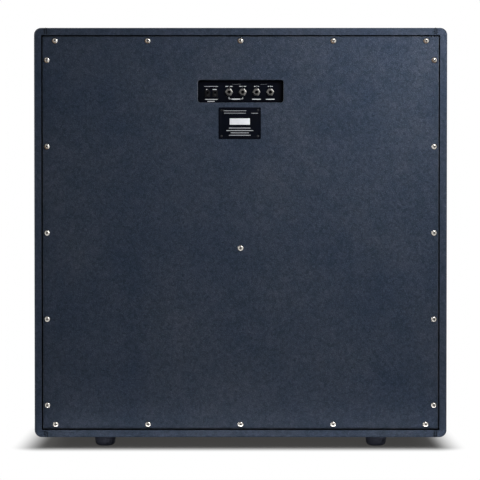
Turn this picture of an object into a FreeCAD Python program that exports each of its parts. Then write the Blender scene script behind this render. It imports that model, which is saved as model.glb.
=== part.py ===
import FreeCAD, Part
import Sketcher
import math
import os
import re

# Guitar speaker cabinet with four twelve-inch drivers, closed by a screwed back panel.
# +X is to the right seen from the grille, +Y points out of the back panel, +Z is up.
# The origin lies on the floor, under the middle of the box. All lengths are in millimetres.

# Driving sizes, one cell each
SIZES = {
    # Box of finger-jointed boards in a glued vinyl skin
    "cabinet_width": 760,
    "cabinet_depth": 360,
    "cabinet_height": 754,
    "wall": 12,
    "vinyl": 0.8,
    "glue_gap": 0.1,
    "corner_radius": 13,
    "edge_radius": 5,
    # Clearances and the overrun of every cut
    "fit_gap": 0.3,
    "thread_gap": 0.1,
    "overrun": 1,
    # Feet
    "foot_height": 20,
    "foot_radius": 20,
    "foot_taper": 1.5,
    "foot_edge_radius": 8,
    "foot_inset_x": 127,
    "foot_inset_y": 45,
    "foot_screw_head_radius": 5,
    "foot_screw_head_height": 3,
    "foot_screw_radius": 2.4,
    "foot_screw_bite": 10,
    "foot_sole": 9,
    "foot_recess_gap": 1.5,
    # Back panel, its cleats and the post behind its middle screw
    "panel_recess": 6,
    "panel_gap": 1.2,
    "back_panel_thickness": 12,
    "panel_edge_radius": 2,
    "cleat_width": 24,
    "cleat_thickness": 18,
    "post_width": 44,
    "centre_screw_drop": 28,
    "back_screw_edge": 8.3,
    "back_screw_corner_x": 23.5,
    "back_screw_corner_z": 44,
    "back_screw_head_radius": 5.5,
    "back_screw_head_height": 3,
    "back_screw_radius": 2.3,
    "back_screw_length": 28,
    "back_screw_cross_width": 1.5,
    "back_screw_cross_span": 6,
    "back_screw_cross_depth": 1.6,
    # Jack recess and its plate
    "jack_opening_width": 162,
    "jack_opening_height": 42,
    "jack_opening_radius": 4,
    "jack_opening_drop": 80.1,
    "jack_plate_thickness": 1.5,
    "jack_plate_margin": 12,
    "plate_screw_head_radius": 3.4,
    "plate_screw_head_height": 2.2,
    "plate_screw_radius": 1.6,
    "plate_screw_bite": 9,
    # Jack sockets with their nuts, washers and tip contacts
    "jack_pitch": 25.4,
    "jack_row_shift": 16.7,
    "jack_drop": 1.1,
    "jack_bore_radius": 3.25,
    "jack_bush_radius": 4.7,
    "jack_bush_reach": 6.5,
    "jack_body_width": 17,
    "jack_body_height": 18,
    "jack_body_depth": 26,
    "jack_front_wall": 4,
    "jack_rear_wall": 2,
    "jack_side_wall": 4,
    "jack_roof": 1,
    "jack_floor": 4.5,
    "jack_nut_flats": 14,
    "jack_nut_thickness": 3.2,
    "jack_washer_radius": 7.8,
    "jack_washer_thickness": 0.8,
    "contact_thickness": 0.5,
    "contact_width": 3.4,
    "contact_headroom": 3,
    "contact_bump": 2.5,
    "contact_bump_run": 3,
    "contact_tip_run": 1,
    "contact_front_gap": 2,
    "trunnion_radius": 0.8,
    "trunnion_reach": 1,
    "trunnion_setback": 1.5,
    # Slide switches
    "switch_pitch": 14.2,
    "switch_row_shift": 54.1,
    "switch_drop": 3.9,
    "switch_bezel_rim": 0.75,
    "switch_bezel_thickness": 1.2,
    "switch_cheek": 1.7,
    "switch_end_wall": 0.9,
    "switch_body_depth": 9.5,
    "switch_front_wall": 2.2,
    "switch_rear_wall": 2,
    "switch_lever_width": 3.4,
    "switch_lever_height": 3.6,
    "switch_lever_reach": 1.2,
    "switch_lever_ledge": 0.5,
    "switch_travel": 4,
    "switch_play": 0.2,
    # Rating plate, its rivets and the blank label on it
    "rating_plate_width": 77.6,
    "rating_plate_height": 58,
    "rating_plate_thickness": 1,
    "rating_plate_corner": 1.5,
    "rating_plate_gap": 9,
    "rating_plate_shift": 1.5,
    "rivet_inset": 5.3,
    "rivet_head_radius": 2.2,
    "rivet_head_height": 1,
    "rivet_radius": 1.2,
    "rivet_bite": 8,
    "label_width": 37.3,
    "label_height": 11.7,
    "label_thickness": 0.2,
    "label_rise": 3,
    # Side handles, let in flush with the skin
    "handle_length": 176,
    "handle_height": 96,
    "handle_corner": 14,
    "handle_flange": 3,
    "handle_wall": 3,
    "handle_rim": 14,
    "handle_depth": 45,
    "handle_screw_inset": 9,
    "handle_screw_head_radius": 4,
    "handle_screw_head_height": 2.2,
    "handle_screw_radius": 2,
    "handle_screw_length": 11,
    # Grille in the front opening
    "grille_recess": 6,
    "grille_gap": 1,
    "grille_cloth_thickness": 0.6,
    "grille_rail_width": 32,
    "grille_rail_thickness": 12,
    "piping_radius": 1.6,
    # Baffle board and its screws
    "baffle_thickness": 15,
    "baffle_screw_head_radius": 4.2,
    "baffle_screw_head_height": 3,
    "baffle_screw_radius": 2,
    "baffle_screw_length": 30,
    "baffle_screw_corner": 60,
    # Drivers: places, flange and gasket
    "speaker_gap": 25,
    "speaker_margin": 18.6,
    "surround_width": 9,
    "lip_width": 9,
    "flange_margin": 11.5,
    "cutout_relief": 7.5,
    "gasket_thickness": 3.8,
    "lip_thickness": 0.8,
    "bolt_radius": 2.4,
    "bolt_head_radius": 4.6,
    "bolt_head_height": 3.2,
    "bolt_tail": 1.5,
    "tee_nut_flange": 3.2,
    "tee_nut_thickness": 1.5,
    "tee_nut_wall": 1.4,
    "tee_nut_barrel_length": 9,
    # Drivers: pressed basket
    "basket_sheet": 1.6,
    "bowl_setback": 2,
    "bowl_depth": 16,
    "ledge_inner_radius": 70,
    "ledge_width": 12,
    "ledge_depth": 68,
    "seat_drop": 18,
    "seat_hole_margin": 1.8,
    "window_margin": 8.5,
    "window_half_angle": 19,
    # Drivers: magnet motor
    "front_plate_radius": 68,
    "front_plate_thickness": 8,
    "magnet_radius": 78,
    "magnet_bore_radius": 40,
    "magnet_thickness": 20,
    "back_plate_radius": 72,
    "back_plate_thickness": 8,
    "coil_gap": 0.8,
    "vent_radius": 6,
    # Drivers: cone, coil and suspension
    "cone_lip": 6,
    "neck_setback": 9.2,
    "cone_sheet": 0.8,
    "neck_collar": 3,
    "coil_inner_radius": 22.2,
    "former_sheet": 0.5,
    "winding_thickness": 0.7,
    "winding_height": 14,
    "dust_cap_radius": 42,
    "dust_cap_rise": 13,
    "dust_cap_sheet": 0.8,
    "surround_wave": 1.6,
    "spider_sheet": 0.6,
    "spider_wave": 2,
    "spider_collar": 3,
    "spider_margin": 3,
    # Drivers: terminal blocks and the cables to the jacks
    "terminal_width": 22,
    "terminal_length": 12,
    "terminal_reach": 8,
    "cable_radius": 2.5,
    "cable_lead": 60,
    "cable_column": 34,
}

# Counts, which are no lengths
FINGERS = 9
SIDE_SCREWS = 5
SPEAKERS = {1: (-1, 1), 2: (1, 1), 3: (-1, -1), 4: (1, -1)}
JACKS = 4
WINDOWS = 6
SURROUND_WAVES = 2
SPIDER_WAVES = 4

doc = FreeCAD.newDocument("speaker_cabinet")
sheet = doc.addObject("Spreadsheet::Sheet", "sizes")
for row, (alias, number) in enumerate(SIZES.items(), start=1):
    sheet.set(f"A{row}", alias)
    sheet.set(f"B{row}", str(number))
    sheet.setAlias(f"B{row}", alias)
doc.recompute()

NODES = []
WORD = re.compile(r"[a-z][a-z_0-9]*")


# Formulas over the sheet
def formula(text):
    """The text with each size's name pointed at its cell."""
    return WORD.sub(lambda found: f"sizes.{found[0]}" if found[0] in SIZES else found[0], text)


def value(text):
    """The number that a formula gives with the present sizes."""
    return float(sheet.evalExpression(text))


def bind(thing, field, text):
    thing.setExpression(field, formula(text))


def put(thing, x="0", y="0", z="0"):
    """Ties a thing's place to three formulas."""
    for axis, text in (("x", x), ("y", y), ("z", z)):
        bind(thing, f"Placement.Base.{axis}", text)
    return thing


def both(text):
    """The span from minus a formula to plus that formula."""
    return f"-({text})", f"({text})"


def around(middle, half):
    """The span of a half size on each side of a middle."""
    return f"({middle} - ({half}))", f"({middle} + ({half}))"


def node(thing, label):
    """Names a finished piece and puts it on the list that is written out."""
    thing.Label = label
    NODES.append(thing)
    return thing


# Primitives and booleans
def block(name, x, y, z):
    """A box between a low and a high formula on each axis."""
    made = doc.addObject("Part::Box", name)
    for field, (low, high) in (("Length", x), ("Width", y), ("Height", z)):
        bind(made, field, f"{high} - ({low})")
    return put(made, x[0], y[0], z[0])


AXIS = ("0", "0")
TURNS = {
    "x": FreeCAD.Rotation(FreeCAD.Vector(0, 1, 0), 90),
    "y": FreeCAD.Rotation(FreeCAD.Vector(1, 0, 0), -90),
    "z": FreeCAD.Rotation(),
}


def rod(name, radius, along, span, at):
    """A cylinder along one axis, over a span, at the two other coordinates in X, Y, Z order."""
    made = doc.addObject("Part::Cylinder", name)
    bind(made, "Radius", radius)
    bind(made, "Height", f"{span[1]} - ({span[0]})")
    made.Placement.Rotation = TURNS[along]
    place = list(at)
    place.insert("xyz".index(along), span[0])
    return put(made, *place)


def holes(name, radius, along, span, places):
    """A rod at each of the places, to cut round holes with."""
    return [rod(name, radius, along, span, at) for at in places]


def gather(name, things):
    made = doc.addObject("Part::Compound", name)
    made.Links = things
    return made


def cut(name, base, *tools):
    made = doc.addObject("Part::Cut", name)
    made.Base = base
    made.Tool = tools[0] if len(tools) == 1 else gather(f"{name}_tools", list(tools))
    return made


def fuse(name, *things):
    made = doc.addObject("Part::MultiFuse", name)
    made.Shapes = list(things)
    return made


def common(name, base, tool):
    made = doc.addObject("Part::Common", name)
    made.Base = base
    made.Tool = tool
    return made


def copy_of(name, master, x="0", y="0", z="0", turn=None):
    """Another copy of a master piece, turned and then placed by formulas."""
    made = doc.addObject("App::Link", name)
    made.LinkedObject = master
    made.LinkTransform = True
    if turn:
        axis, angle = turn
        made.Placement.Rotation = FreeCAD.Rotation(FreeCAD.Vector(*axis), angle)
    return put(made, x, y, z)


def copies(name, master, places, y, turn=None):
    """A copy of a master piece at each place in X and Z, all at one Y."""
    return [copy_of(name, master, x, y, z, turn) for x, z in places]


# Bodies, sketches and their features
def new_body(name):
    return doc.addObject("PartDesign::Body", name)


def new_sketch(body, name, plane):
    made = body.newObject("Sketcher::SketchObject", name)
    support = next(f for f in body.Origin.OriginFeatures if f.Role == plane)
    made.AttachmentSupport = [(support, "")]
    made.MapMode = "FlatFace"
    return made


def bulged(start, end, radius):
    """The arc from start to end, bulging to the right of that way, or left with a radius below zero."""
    chord = end - start
    side = FreeCAD.Vector(chord.y, -chord.x, 0).normalize()
    rise = abs(radius) - (radius**2 - chord.Length**2 / 4) ** 0.5
    return Part.Arc(start, (start + end) / 2 + side * math.copysign(rise, radius), end)


def outline(sketch, points):
    """A closed outline. A point is two formulas, and a third is the radius of an arc to the next point."""
    count = len(points)
    places = [FreeCAD.Vector(value(p[0]), value(p[1]), 0) for p in points]
    ends = []
    for i, point in enumerate(points):
        start, end = places[i], places[(i + 1) % count]
        if len(point) == 3:
            edge = sketch.addGeometry(bulged(start, end, value(point[2])), False)
        else:
            edge = sketch.addGeometry(Part.LineSegment(start, end), False)
        forward = (sketch.getPoint(edge, 1) - start).Length <= (sketch.getPoint(edge, 2) - start).Length
        ends.append((edge, 1, 2) if forward else (edge, 2, 1))
    for i, (edge, first, last) in enumerate(ends):
        following, its_first, _ = ends[(i + 1) % count]
        sketch.addConstraint(Sketcher.Constraint("Coincident", edge, last, following, its_first))
    for point, (edge, first, _) in zip(points, ends):
        for kind, text in (("DistanceX", point[0]), ("DistanceY", point[1])):
            number = sketch.addConstraint(Sketcher.Constraint(kind, -1, 1, edge, first, value(text)))
            sketch.setExpression(f"Constraints[{number}]", formula(text))
        if len(point) == 3:
            number = sketch.addConstraint(Sketcher.Constraint("Radius", edge, abs(value(point[2]))))
            sketch.setExpression(f"Constraints[{number}]", formula(f"abs({point[2]})"))


def revolved(name, points, plane="XY_Plane"):
    """A body turned about its sketch's upright axis, which is Y on the XY plane and Z on the XZ plane."""
    body = new_body(name)
    profile = new_sketch(body, f"{name}_profile", plane)
    outline(profile, points)
    turned = body.newObject("PartDesign::Revolution", f"{name}_turned")
    turned.Profile = profile
    turned.ReferenceAxis = (profile, ["V_Axis"])
    turned.Angle = 360
    return body


def rectangle(width, height):
    """The corners of a rectangle about the sketch's origin."""
    (left, right), (low, high) = both(f"({width}) / 2"), both(f"({height}) / 2")
    return [(left, low), (right, low), (right, high), (left, high)]


def padded(name, points, plane, length):
    """A body padded from its sketch towards +X, +Y or +Z, whichever is square to the plane."""
    body = new_body(name)
    profile = new_sketch(body, f"{name}_profile", plane)
    outline(profile, points)
    pad = body.newObject("PartDesign::Pad", f"{name}_pad")
    pad.Profile = profile
    pad.Reversed = plane == "XZ_Plane"
    bind(pad, "Length", length)
    return body


def rounded(body, radius, pick):
    """Fillets the edges of a body's last feature that pick chooses."""
    doc.recompute()
    base = body.Tip
    names = [f"Edge{i}" for i, edge in enumerate(base.Shape.Edges, start=1) if pick(edge)]
    fillet = body.newObject("PartDesign::Fillet", f"{body.Name}_fillet_{len(body.Group)}")
    fillet.Base = (base, names)
    bind(fillet, "Radius", radius)
    return body


NEAR = 1e-4


def runs_along(axis):
    """Picks straight edges along X, Y or Z."""
    number = "xyz".index(axis)
    return lambda edge: abs(abs(edge.tangentAt(edge.FirstParameter)[number]) - 1) < NEAR


def lies_at_end(axis, body, ends):
    """Picks the edges in a body's end faces on one axis: low, high or both."""
    doc.recompute()
    low, high = getattr(body.Shape.BoundBox, f"{axis}Min"), getattr(body.Shape.BoundBox, f"{axis}Max")
    wanted = {"low": [low], "high": [high], "both": [low, high]}[ends]

    def pick(edge):
        box = edge.BoundBox
        near = [getattr(box, f"{axis}Min"), getattr(box, f"{axis}Max")]
        return any(all(abs(side - level) < NEAR for side in near) for level in wanted)

    return pick


def prism(name, plane, width, height, radius, span, at):
    """A rounded rectangle on a plane, padded over a span and placed at the two other coordinates."""
    along = {"XY_Plane": "z", "XZ_Plane": "y", "YZ_Plane": "x"}[plane]
    body = padded(name, rectangle(width, height), plane, f"{span[1]} - ({span[0]})")
    rounded(body, radius, runs_along(along))
    place = list(at)
    place.insert("xyz".index(along), span[0])
    return put(body, *place)


# Fasteners, made facing +Y with their seat at the origin
def crossed(name, screw, top, width, span, depth):
    """A screw with a cross recess sunk into its top."""
    level = (f"{top} - {depth}", f"{top} + overrun")
    across = block(f"{name}_slot_x", both(f"{span} / 2"), level, both(f"{width} / 2"))
    upright = block(f"{name}_slot_z", both(f"{width} / 2"), level, both(f"{span} / 2"))
    return cut(name, screw, fuse(f"{name}_cross", across, upright))


def domed_screw(name, size, length):
    """A screw or rivet with a domed head, from the sizes whose names start with size."""
    head, rise, shank = f"{size}_head_radius", f"{size}_head_height", f"{size}_radius"
    dome = f"(({head})^2 + ({rise})^2) / (2 * {rise})"
    points = [("0", f"-({length})"), (shank, f"-({length})"), (shank, "0"), (head, "0", dome), ("0", rise)]
    return revolved(name, points)


def countersunk(name, size, gap):
    """A countersunk screw flush at the origin or, with a gap, the hole that takes it."""
    head, sink = f"{size}_head_radius + {gap}", f"{size}_head_height"
    shank, end = f"{size}_radius + {gap}", f"-({size}_length + {gap})"
    return revolved(name, [("0", end), (shank, end), (shank, f"-{sink}"), (head, "0"), ("0", "0")])


# Places that several pieces share
WOOD_X = "(cabinet_width / 2 - vinyl - glue_gap)"
WOOD_Y = "(cabinet_depth / 2 - vinyl - glue_gap)"
WOOD_LOW = "(foot_height + vinyl + glue_gap)"
WOOD_HIGH = "(foot_height + cabinet_height - vinyl - glue_gap)"
INNER_X = f"({WOOD_X} - wall)"
INNER_LOW = f"({WOOD_LOW} + wall)"
INNER_HIGH = f"({WOOD_HIGH} - wall)"
INNER_Z = f"(({INNER_HIGH} - {INNER_LOW}) / 2)"
MIDDLE = "(foot_height + cabinet_height / 2)"
PANEL_X = f"({INNER_X} - vinyl - panel_gap)"
PANEL_Z = f"({INNER_Z} - vinyl - panel_gap)"
PANEL_FACE = "(cabinet_depth / 2 - panel_recess)"
PANEL_BACK = f"({PANEL_FACE} - vinyl - glue_gap - back_panel_thickness)"
PLATE_BACK = f"({PANEL_BACK} - jack_plate_thickness)"
JACK_RISE = f"({MIDDLE} + {PANEL_Z} - jack_opening_drop - jack_opening_height / 2)"
RATING_TOP = f"({JACK_RISE} - jack_opening_height / 2 - rating_plate_gap)"
CLOTH_FACE = "(-cabinet_depth / 2 + grille_recess)"
BAFFLE_FACE = f"({CLOTH_FACE} + grille_cloth_thickness + grille_rail_thickness)"
BAFFLE_BACK = f"({BAFFLE_FACE} + baffle_thickness)"
REAR_CLEAT_Y = (f"({PANEL_BACK} - cleat_thickness)", PANEL_BACK)
FRONT_CLEAT_Y = (BAFFLE_BACK, f"({BAFFLE_BACK} + cleat_thickness)")


def back_screw_places():
    """X and Z of every back-panel screw: the four edges and the middle."""
    places = []
    for i in range(SIDE_SCREWS):
        share = 2 * i / (SIDE_SCREWS - 1) - 1
        along_x = f"({share} * ({PANEL_X} - back_screw_corner_x))"
        along_z = f"({MIDDLE} + {share} * ({PANEL_Z} - back_screw_corner_z))"
        for side in ("-", "+"):
            places.append((along_x, f"({MIDDLE} {side} ({PANEL_Z} - back_screw_edge))"))
            places.append((f"({side}({PANEL_X} - back_screw_edge))", along_z))
    return places + [("0", f"({MIDDLE} - centre_screw_drop)")]


def jack_places():
    """X and Z of each jack socket."""
    middle = (JACKS - 1) / 2
    level = f"({JACK_RISE} - jack_drop)"
    return [(f"(({middle - i}) * jack_pitch - jack_row_shift)", level) for i in range(JACKS)]


def switch_places():
    """X and Z of the two slide switches."""
    level = f"({JACK_RISE} - switch_drop)"
    return [(f"(switch_row_shift {side} switch_pitch / 2)", level) for side in "+-"]


def corner_places(middle_x, half_x, middle_z, half_z):
    """The four corners of a rectangle in X and Z."""
    return [(x, z) for x in around(middle_x, half_x) for z in around(middle_z, half_z)]


PLATE_SCREWS = corner_places(
    "0",
    "(jack_opening_width + jack_plate_margin) / 2",
    JACK_RISE,
    "(jack_opening_height + jack_plate_margin) / 2",
)
RATING_MIDDLE = ("rating_plate_shift", f"({RATING_TOP} - rating_plate_height / 2)")
RIVETS = corner_places(
    RATING_MIDDLE[0],
    "(rating_plate_width / 2 - rivet_inset)",
    RATING_MIDDLE[1],
    "(rating_plate_height / 2 - rivet_inset)",
)
FOOT_PLACES = [
    (x, y)
    for x in both("cabinet_width / 2 - foot_inset_x")
    for y in both("cabinet_depth / 2 - foot_inset_y")
]


# Carcass: four finger-jointed boards
def rounded_block(name, inset):
    """The whole box, drawn in by an inset, with its corners and both rims rounded."""
    size = [f"(cabinet_{side} - 2 * ({inset}))" for side in ("width", "height", "depth")]
    body = padded(name, rectangle(size[0], size[1]), "XZ_Plane", size[2])
    rounded(body, f"corner_radius - ({inset})", runs_along("y"))
    rounded(body, f"edge_radius - ({inset})", lies_at_end("Y", body, "both"))
    return put(body, "0", f"-({size[2]}) / 2", MIDDLE)


def finger_spans(offset):
    """Every second of the equal stretches along the depth, from the first or the second on."""
    pitch = f"(2 * {WOOD_Y} / {FINGERS})"
    edges = [f"(-{WOOD_Y} + {i} * {pitch})" for i in range(FINGERS + 1)]
    edges[0], edges[-1] = both(f"{WOOD_Y} + 2 * overrun")
    return [(edges[i], edges[i + 1]) for i in range(offset, FINGERS, 2)]


def finger_notches(name, x_spans, z_spans, offset):
    """The notches that the mating board's fingers fill."""
    return [
        block(f"{name}_notch", x, y, z)
        for x in x_spans
        for z in z_spans
        for y in finger_spans(offset)
    ]


PAST_X, PAST_LOW, PAST_HIGH = f"({WOOD_X} + overrun)", f"({WOOD_LOW} - overrun)", f"({WOOD_HIGH} + overrun)"
ENDS_X = [(f"-{PAST_X}", f"-{INNER_X}"), (INNER_X, PAST_X)]
ENDS_Z = [(PAST_LOW, INNER_LOW), (INNER_HIGH, PAST_HIGH)]
FULL_Y = both(f"({WOOD_Y} + overrun)")


def make_carcass(wood):
    """Cuts oversize boards for their fingers and trims them to the rounded block."""
    for label, z in (("bottom_panel", ENDS_Z[0]), ("top_panel", ENDS_Z[1])):
        blank = block(f"{label}_blank", both(PAST_X), FULL_Y, z)
        cuts = finger_notches(label, ENDS_X, [z], 0)
        if label == "bottom_panel":
            pilot = (PAST_LOW, f"({WOOD_LOW} + foot_screw_bite + thread_gap)")
            cuts += holes("foot_pilot", "foot_screw_radius + thread_gap", "z", pilot, FOOT_PLACES)
        node(common(label, cut(f"{label}_cut", blank, *cuts), wood), label)
    for label, x, side in (("left_side_panel", ENDS_X[0], -1), ("right_side_panel", ENDS_X[1], 1)):
        blank = block(f"{label}_blank", x, FULL_Y, (PAST_LOW, PAST_HIGH))
        cuts = finger_notches(label, [x], ENDS_Z, 1) + handle_hole(label, side)
        node(common(label, cut(f"{label}_cut", blank, *cuts), wood), label)


# Vinyl skin of the box, turned in over both rims
def lining(name, y):
    """A sleeve of vinyl on the inner faces of the boards."""
    outer = block(f"{name}_outer", both(INNER_X), y, (INNER_LOW, INNER_HIGH))
    inner = mouth(f"{name}_inner", (f"({y[0]} - overrun)", f"({y[1]} + overrun)"))
    return cut(name, outer, inner)


def mouth(name, y):
    """The clear opening inside the lining."""
    z = (f"({INNER_LOW} + vinyl)", f"({INNER_HIGH} - vinyl)")
    return block(name, both(f"({INNER_X} - vinyl)"), y, z)


def make_vinyl_wrap():
    through = ("(-cabinet_depth / 2 - overrun)", "(cabinet_depth / 2 + overrun)")
    outer = rounded_block("wrap_outer", "0")
    under = rounded_block("wrap_under", "vinyl")
    skin = cut("wrap_skin", outer, under)
    open_skin = cut("wrap_open", skin, mouth("wrap_mouth", through))
    rear = lining("rear_lining", (PANEL_BACK, WOOD_Y + " + glue_gap"))
    front = lining("front_lining", (f"-({WOOD_Y} + glue_gap)", BAFFLE_FACE))
    whole = fuse("wrap_whole", open_skin, rear, front)
    windows = [handle_window(side) for side in (-1, 1)]
    eyes = holes("foot_eye", "foot_screw_radius + fit_gap", "z", ("0", MIDDLE), FOOT_PLACES)
    node(cut("vinyl_wrap", whole, *windows, *eyes), "vinyl_wrap")


# Side handles
HANDLE_FACE = "(cabinet_width / 2)"
HANDLE_BED = "(cabinet_width / 2 - handle_flange)"
HANDLE_SCREWS = [
    (y, z)
    for y in both("(handle_length / 2 - handle_screw_inset)")
    for z in around(MIDDLE, "(handle_height / 2 - handle_screw_inset)")
]
HALF_TURN = ((0, 0, 1), 180)


def facing(side, name, thing):
    """The thing itself on the right side, or its copy turned round to the left side."""
    return thing if side > 0 else copy_of(f"{name}_left", thing, turn=HALF_TURN)


def handle_prism(name, inset, span):
    """The handle's outline, drawn in by an inset, over a span of X."""
    length, height = f"(handle_length - 2 * ({inset}))", f"(handle_height - 2 * ({inset}))"
    corner = f"handle_corner * ({height}) / handle_height"
    return prism(name, "YZ_Plane", length, height, corner, span, ("0", MIDDLE))


def handle_window(side):
    """The hole in the skin that shows the handle's flange."""
    window = handle_prism("handle_window", "-fit_gap", (INNER_X, f"({HANDLE_FACE} + overrun)"))
    return facing(side, "handle_window", window)


def handle_hole(label, side):
    """The bed, dish opening and pilot holes for one handle in its side board."""
    bed = handle_prism(f"{label}_bed", "-fit_gap", (HANDLE_BED, f"({HANDLE_FACE} + overrun)"))
    dish = handle_prism(f"{label}_dish", "handle_rim - fit_gap", (f"({INNER_X} - overrun)", HANDLE_FACE))
    pilot = (f"({HANDLE_FACE} - handle_screw_length - overrun)", HANDLE_FACE)
    pilots = holes(f"{label}_pilot", "handle_screw_radius + thread_gap", "x", pilot, HANDLE_SCREWS)
    return [facing(side, f"{label}_hole", gather(f"{label}_hole", [bed, dish] + pilots))]


def make_handles():
    flange = handle_prism("handle_flange_plate", "0", (HANDLE_BED, HANDLE_FACE))
    dish = handle_prism("handle_dish", "handle_rim", (f"({HANDLE_FACE} - handle_depth)", HANDLE_FACE))
    cavity = handle_prism(
        "handle_cavity",
        "handle_rim + handle_wall",
        (f"({HANDLE_FACE} - handle_depth + handle_wall)", f"({HANDLE_FACE} + overrun)"),
    )
    sink = countersunk("handle_screw_sink", "handle_screw", "thread_gap")
    screw = crossed(
        "handle_screw",
        countersunk("handle_screw_blank", "handle_screw", "0"),
        "0",
        "handle_screw_radius / 2",
        "handle_screw_head_radius",
        "handle_screw_head_height / 2",
    )
    to_right = ((0, 0, 1), -90)
    sinks = [copy_of("handle_sink", sink, HANDLE_FACE, y, z, to_right) for y, z in HANDLE_SCREWS]
    screws = [copy_of("handle_fixing", screw, HANDLE_FACE, y, z, to_right) for y, z in HANDLE_SCREWS]
    right = cut("right_handle", fuse("handle_blank", flange, dish), cavity, *sinks)
    node(right, "right_handle")
    node(gather("left_handle", [copy_of("left_handle_copy", right, turn=HALF_TURN)]), "left_handle")
    fixings = gather("handle_fixings", screws)
    left = copy_of("left_fixings", fixings, turn=HALF_TURN)
    node(gather("handle_screws", [fixings, left]), "handle_screws")


# Cleats and centre post
def cleat_frame(label, y, pilots):
    """Four battens on the inner faces of the boards, with the pilot holes that they share."""
    inside_z = (f"({INNER_LOW} + cleat_width)", f"({INNER_HIGH} - cleat_width)")
    battens = [
        block(f"{label}_low", both(INNER_X), y, (INNER_LOW, inside_z[0])),
        block(f"{label}_high", both(INNER_X), y, (inside_z[1], INNER_HIGH)),
        block(f"{label}_left", (f"-{INNER_X}", f"(-{INNER_X} + cleat_width)"), y, inside_z),
        block(f"{label}_right", (f"({INNER_X} - cleat_width)", INNER_X), y, inside_z),
    ]
    drills = gather(f"{label}_pilots", pilots)
    node(gather(label, [cut(f"{batten.Name}_drilled", batten, drills) for batten in battens]), label)


def back_pilots(name, radius, y):
    return holes(name, radius, "y", y, back_screw_places())


def make_supports():
    pilot = (f"({PANEL_FACE} - back_screw_length - overrun)", f"({PANEL_FACE} + overrun)")
    rear_pilots = back_pilots("back_pilot", "back_screw_radius + thread_gap", pilot)
    cleat_frame("rear_cleats", REAR_CLEAT_Y, rear_pilots)
    cleat_frame("front_cleats", FRONT_CLEAT_Y, [baffle_screw_copies("baffle_pilot", "thread_gap")])
    post = block(
        "post_blank",
        both("post_width / 2"),
        (BAFFLE_BACK, PANEL_BACK),
        around(f"({MIDDLE} - centre_screw_drop)", "post_width / 2"),
    )
    hole = rod("post_pilot", "back_screw_radius + thread_gap", "y", pilot, back_screw_places()[-1])
    node(cut("centre_post", post, hole), "centre_post")


# Back panel, its vinyl and its screws
def panel_slab(name, inset, y_low):
    """The panel's outline, drawn in by an inset, with its rear edge rounded."""
    width, height = f"2 * ({PANEL_X} - ({inset}))", f"2 * ({PANEL_Z} - ({inset}))"
    body = padded(name, rectangle(width, height), "XZ_Plane", f"{PANEL_FACE} - ({inset}) - ({y_low})")
    rounded(body, f"panel_edge_radius - ({inset})", lies_at_end("Y", body, "high"))
    return put(body, "0", y_low, MIDDLE)


def jack_opening(name, growth, y):
    """The rounded opening over the jack plate, grown all round."""
    width, height = f"jack_opening_width + 2 * ({growth})", f"jack_opening_height + 2 * ({growth})"
    return prism(name, "XZ_Plane", width, height, f"jack_opening_radius + {growth}", y, ("0", JACK_RISE))


def make_back_panel():
    past = f"({PANEL_FACE} + overrun)"
    short = f"({PANEL_BACK} - overrun)"
    board = panel_slab("board_blank", "vinyl + glue_gap", PANEL_BACK)
    rivet_pilot = (f"({PANEL_FACE} - rivet_bite - overrun)", past)
    rivet_holes = holes("rivet_hole", "rivet_radius + thread_gap", "y", rivet_pilot, RIVETS)
    screw_holes = back_pilots("back_hole", "back_screw_radius + fit_gap", (short, past))
    plate_pilot = (short, f"({PANEL_BACK} + plate_screw_bite + thread_gap)")
    plate_pilots = holes("plate_pilot", "plate_screw_radius + thread_gap", "y", plate_pilot, PLATE_SCREWS)
    opening = jack_opening("board_opening", "vinyl + glue_gap", (short, past))
    node(cut("back_panel", board, opening, *screw_holes, *plate_pilots, *rivet_holes), "back_panel")

    outer, under = panel_slab("panel_outer", "0", PANEL_BACK), panel_slab("panel_under", "vinyl", short)
    skin = cut("panel_skin", outer, under)
    sleeve = jack_opening("opening_sleeve", "vinyl", (PANEL_BACK, f"({PANEL_FACE} - vinyl / 2)"))
    clear = jack_opening("opening_clear", "0", (short, past))
    whole = fuse("panel_skin_whole", skin, sleeve)
    node(cut("back_panel_vinyl", whole, clear, *screw_holes, *rivet_holes), "back_panel_vinyl")

    screw = crossed(
        "back_screw",
        domed_screw("back_screw_blank", "back_screw", "back_screw_length"),
        "back_screw_head_height",
        "back_screw_cross_width",
        "back_screw_cross_span",
        "back_screw_cross_depth",
    )
    placed = copies("back_fixing", screw, back_screw_places(), PANEL_FACE)
    node(gather("back_panel_screws", placed), "back_panel_screws")


# Rating plate with rivets and a blank label
def make_rating_plate():
    x, z = RATING_MIDDLE
    face = f"({PANEL_FACE} + rating_plate_thickness)"
    plate = prism(
        "rating_blank",
        "XZ_Plane",
        "rating_plate_width",
        "rating_plate_height",
        "rating_plate_corner",
        (PANEL_FACE, face),
        (x, z),
    )
    past = (PANEL_BACK, f"({face} + overrun)")
    eyes = holes("rivet_eye", "rivet_radius + thread_gap", "y", past, RIVETS)
    node(cut("rating_plate", plate, *eyes), "rating_plate")
    rivet = domed_screw("rivet", "rivet", "rating_plate_thickness + rivet_bite")
    rivets = [copy_of("rivet_copy", rivet, rx, face, rz) for rx, rz in RIVETS]
    node(gather("rating_plate_rivets", rivets), "rating_plate_rivets")
    label_z = around(f"({z} + label_rise)", "label_height / 2")
    label_y = (face, f"({face} + label_thickness)")
    node(block("blank_label", around(x, "label_width / 2"), label_y, label_z), "blank_label")


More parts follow.
